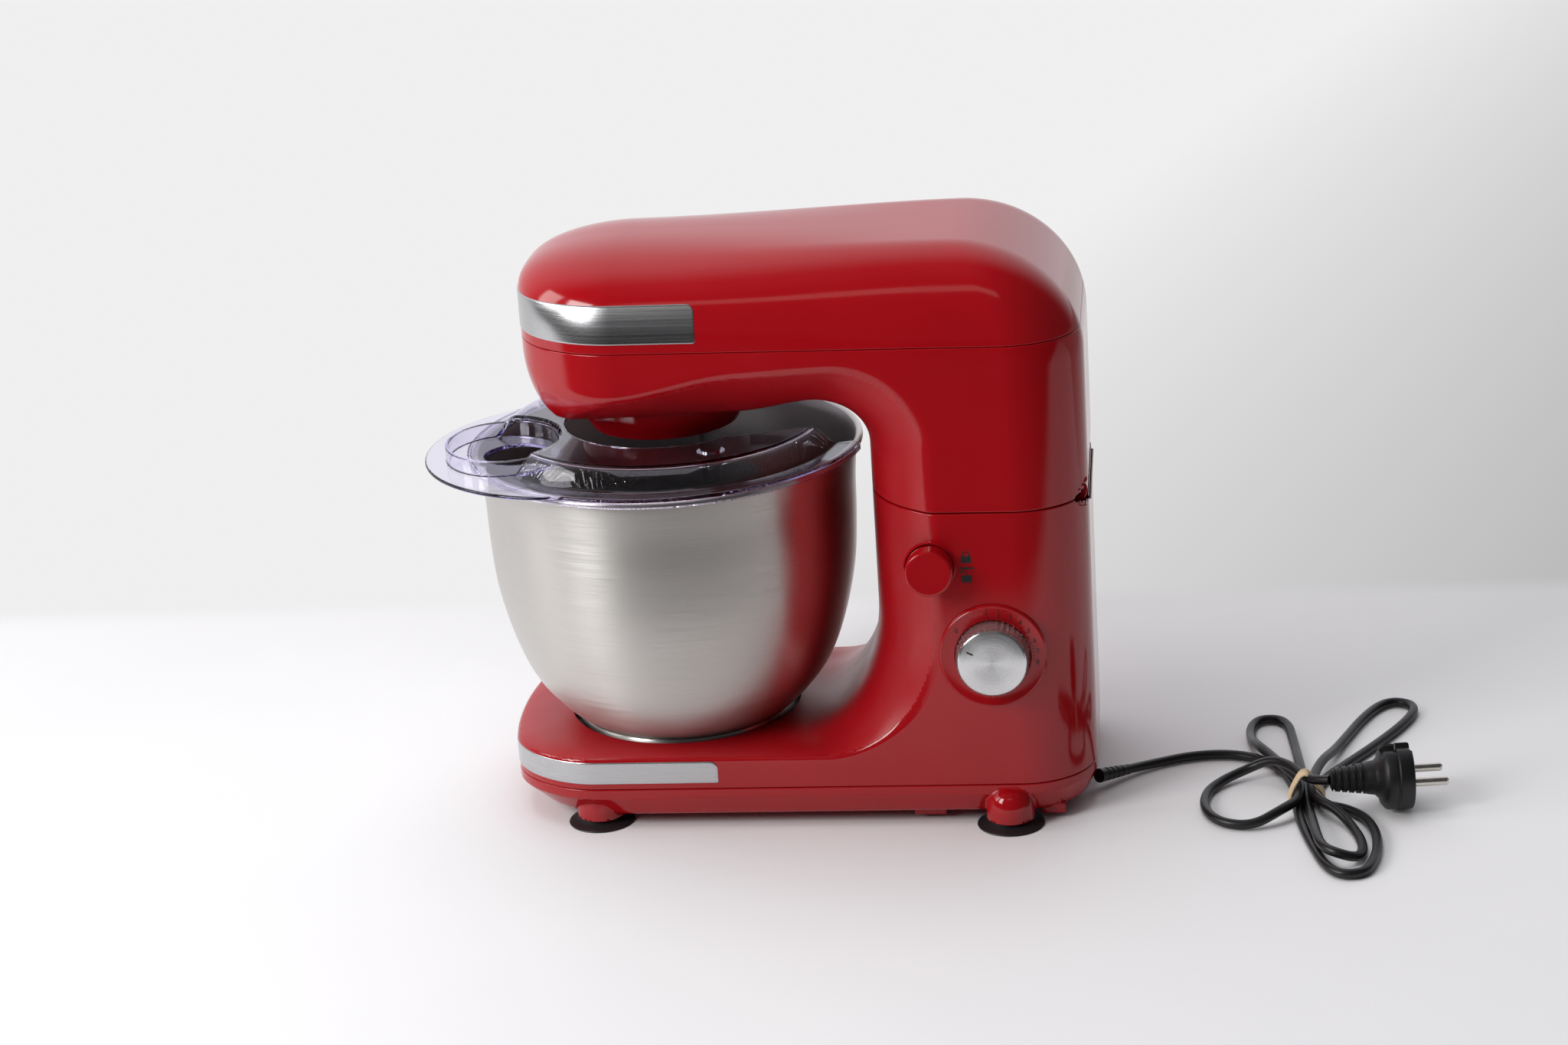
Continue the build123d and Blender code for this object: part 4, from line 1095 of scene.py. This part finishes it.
def build_tie():
    """Rubber band wound round the waist of the bundle."""
    hull = through([(290.2, 3.2), (291.2, 7.2), (293.6, 12.4), (296.6, 16.9), (299.8, 17.4), (303.0, 13.6),
                    (306.4, 8.6), (308.7, 4.4), (307.6, 0.9), (299.4, 0.75), (291.6, 0.85), (290.2, 3.2)], 10)
    along = lengths(hull)
    turns, steps = 5, 96
    path = []
    for i in range(turns * steps + 1):
        t = i / steps
        s = (t % 1.0) * along[-1]
        x, z = np.interp(s, along, hull[:, 0]), np.interp(s, along, hull[:, 1])
        y = -62.6 + 1.75 * t + 0.7 * math.sin(2 * math.pi * t + 1.1 * math.floor(t))
        grow = 1.0 + 0.012 * math.floor(t)
        path.append((299.4 + (x - 299.4) * grow, y, 8.6 + (z - 8.6) * (1.0 + 0.01 * math.floor(t))))
    tie = tube("tie_band", path, [0.75] * len(path), sides=10)
    for v in tie.data.vertices:
        v.co.z = max(v.co.z, 0.0001)
    return piece(tie, "base", "tie_tan", "cord_tie", angle=60)


def build_plug():
    turn = math.radians(6.0)
    w = (math.cos(turn), math.sin(turn), 0)
    v = (-math.sin(turn), math.cos(turn), 0)
    u = (0, 0, 1)
    face = (355.5, -66.0, 18.6)

    def notched(r, h, a):
        if r < 11.0 or h < -15.5:
            return r
        side = abs(math.cos(a))            # the two earth clips sit in slots at top and bottom
        slot = 1.0 if side > 0.955 else 0.0
        step = 1.0 if abs(math.sin(a)) < 0.42 else 0.0
        return r - 2.6 * slot - (step if h < -8 else 0.0)

    outline = [(0, -0.6), (13.0, -0.6), (13.6, 0.0), (17.2, 0.0), (17.9, -0.4), (18.2, -1.2), (18.2, -7.6),
               (17.7, -8.2), (17.6, -8.8), (18.0, -9.4), (18.0, -13.6), (17.2, -15.2), (15.0, -16.8),
               (11.4, -18.0), (9.6, -20.0), (8.9, -24.0)]
    z = -24.0
    for k in range(5):
        r = 8.6 - 0.5 * k
        outline += [(r, z - 1.0), (r, z - 2.2), (r - 1.1, z - 2.6), (r - 1.1, z - 3.4), (r - 0.2, z - 3.8)]
        z -= 3.8
    outline += [(5.6, -43.4), (4.2, -44.0), (0, -44.0)]
    body = turned("plug", outline, face, (u, v, w), steps=144, radius=notched)
    return piece(body, "base", "plug_black", "plug_body", angle=30)


# ---- mains cord
CORD = [
    (185, -37.5, 9), (196, -25, 6), (214, -9, 3.2), (238, 3, 3), (262, 4, 3), (280, -7, 3),
    (289, -24, 3), (293, -42, 3), (293.8, -58, 3),
    # lower outer loop
    (293.5, -76, 3), (296, -100, 3), (300.5, -126, 3), (305.4, -147.5, 3), (312.6, -158, 3),
    (324.2, -156.5, 3), (330, -145, 3), (334, -126, 3), (334.5, -106, 3), (330, -86, 3),
    (320, -74, 3), (309, -69, 3), (305, -58, 3),
    # upper right loop
    (306, -44, 3), (314, -28, 3), (327, -9, 3), (343, 15, 3), (358, 40, 3), (367.3, 60.9, 3),
    (366.7, 72.8, 3), (356.3, 78, 3), (346.7, 71.1, 3), (336, 51, 3), (327, 28, 3), (318, 4, 4),
    (310, -20, 8.8), (304, -42, 8.8), (302.4, -58, 7.8),
    # lower inner loop
    (305, -74, 8.8), (315, -86, 7.5), (322.5, -99, 3), (326, -116, 3), (325.9, -131.3, 3.5),
    (321.7, -142, 5), (310.8, -143.5, 8.9), (303.6, -134.7, 8.9), (301.5, -114, 8.9),
    (300.5, -92, 6.5), (299.8, -74, 3), (299.4, -58, 3),
    # upper left loop
    (299, -42, 3), (298, -18, 3), (296.5, 8, 3), (295, 28, 3), (294, 44, 3), (288.8, 54, 3),
    (277.6, 54, 3), (271.8, 43, 3), (271.5, 22, 4), (274.5, 2, 9.3), (282, -14, 9),
    (289, -30, 8.8), (295, -44, 8.4), (296.8, -58, 7.8),
    # left loop
    (294, -75, 8.8), (284, -88, 8.8), (269, -95, 3), (252, -91, 3), (243, -74, 3), (244, -50, 3),
    (254, -34, 3.4), (268, -27, 7), (281, -31, 14.4), (291, -40, 14.8), (298, -54, 14),
    (304, -66, 16.4), (311.7, -70.6, 18.6)]
CORD_D = 5.4


def make_cord():
    curve = bpy.data.curves.new("cord", "CURVE")
    curve.dimensions = "3D"
    line = curve.splines.new("NURBS")
    line.points.add(len(CORD) - 1)
    for point, (x, y, z) in zip(line.points, CORD):
        point.co = (x / 1000, y / 1000, z / 1000, 1)
    line.order_u = 3
    line.use_endpoint_u = True
    line.resolution_u = 10
    curve.bevel_depth = CORD_D / 2000
    curve.bevel_resolution = 5
    curve.use_fill_caps = True
    cord = bpy.data.objects.new("cord", curve)
    bpy.context.scene.collection.objects.link(cord)
    curve.materials.append(MATS["cord_black"])
    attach(cord, "base")
    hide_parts("power_cord", "cord_bundle")
    build_plug()
    build_tie()
    build_boot(cord)


make_materials()
finish_nodes()
make_camera()
make_stage(MATS["floor"])
make_lights()
make_cord()
build_body(1.5)
build_bands()
build_bowl()
build_lid(0.8)
build_hub_and_hinge()
build_feet()
build_controls()
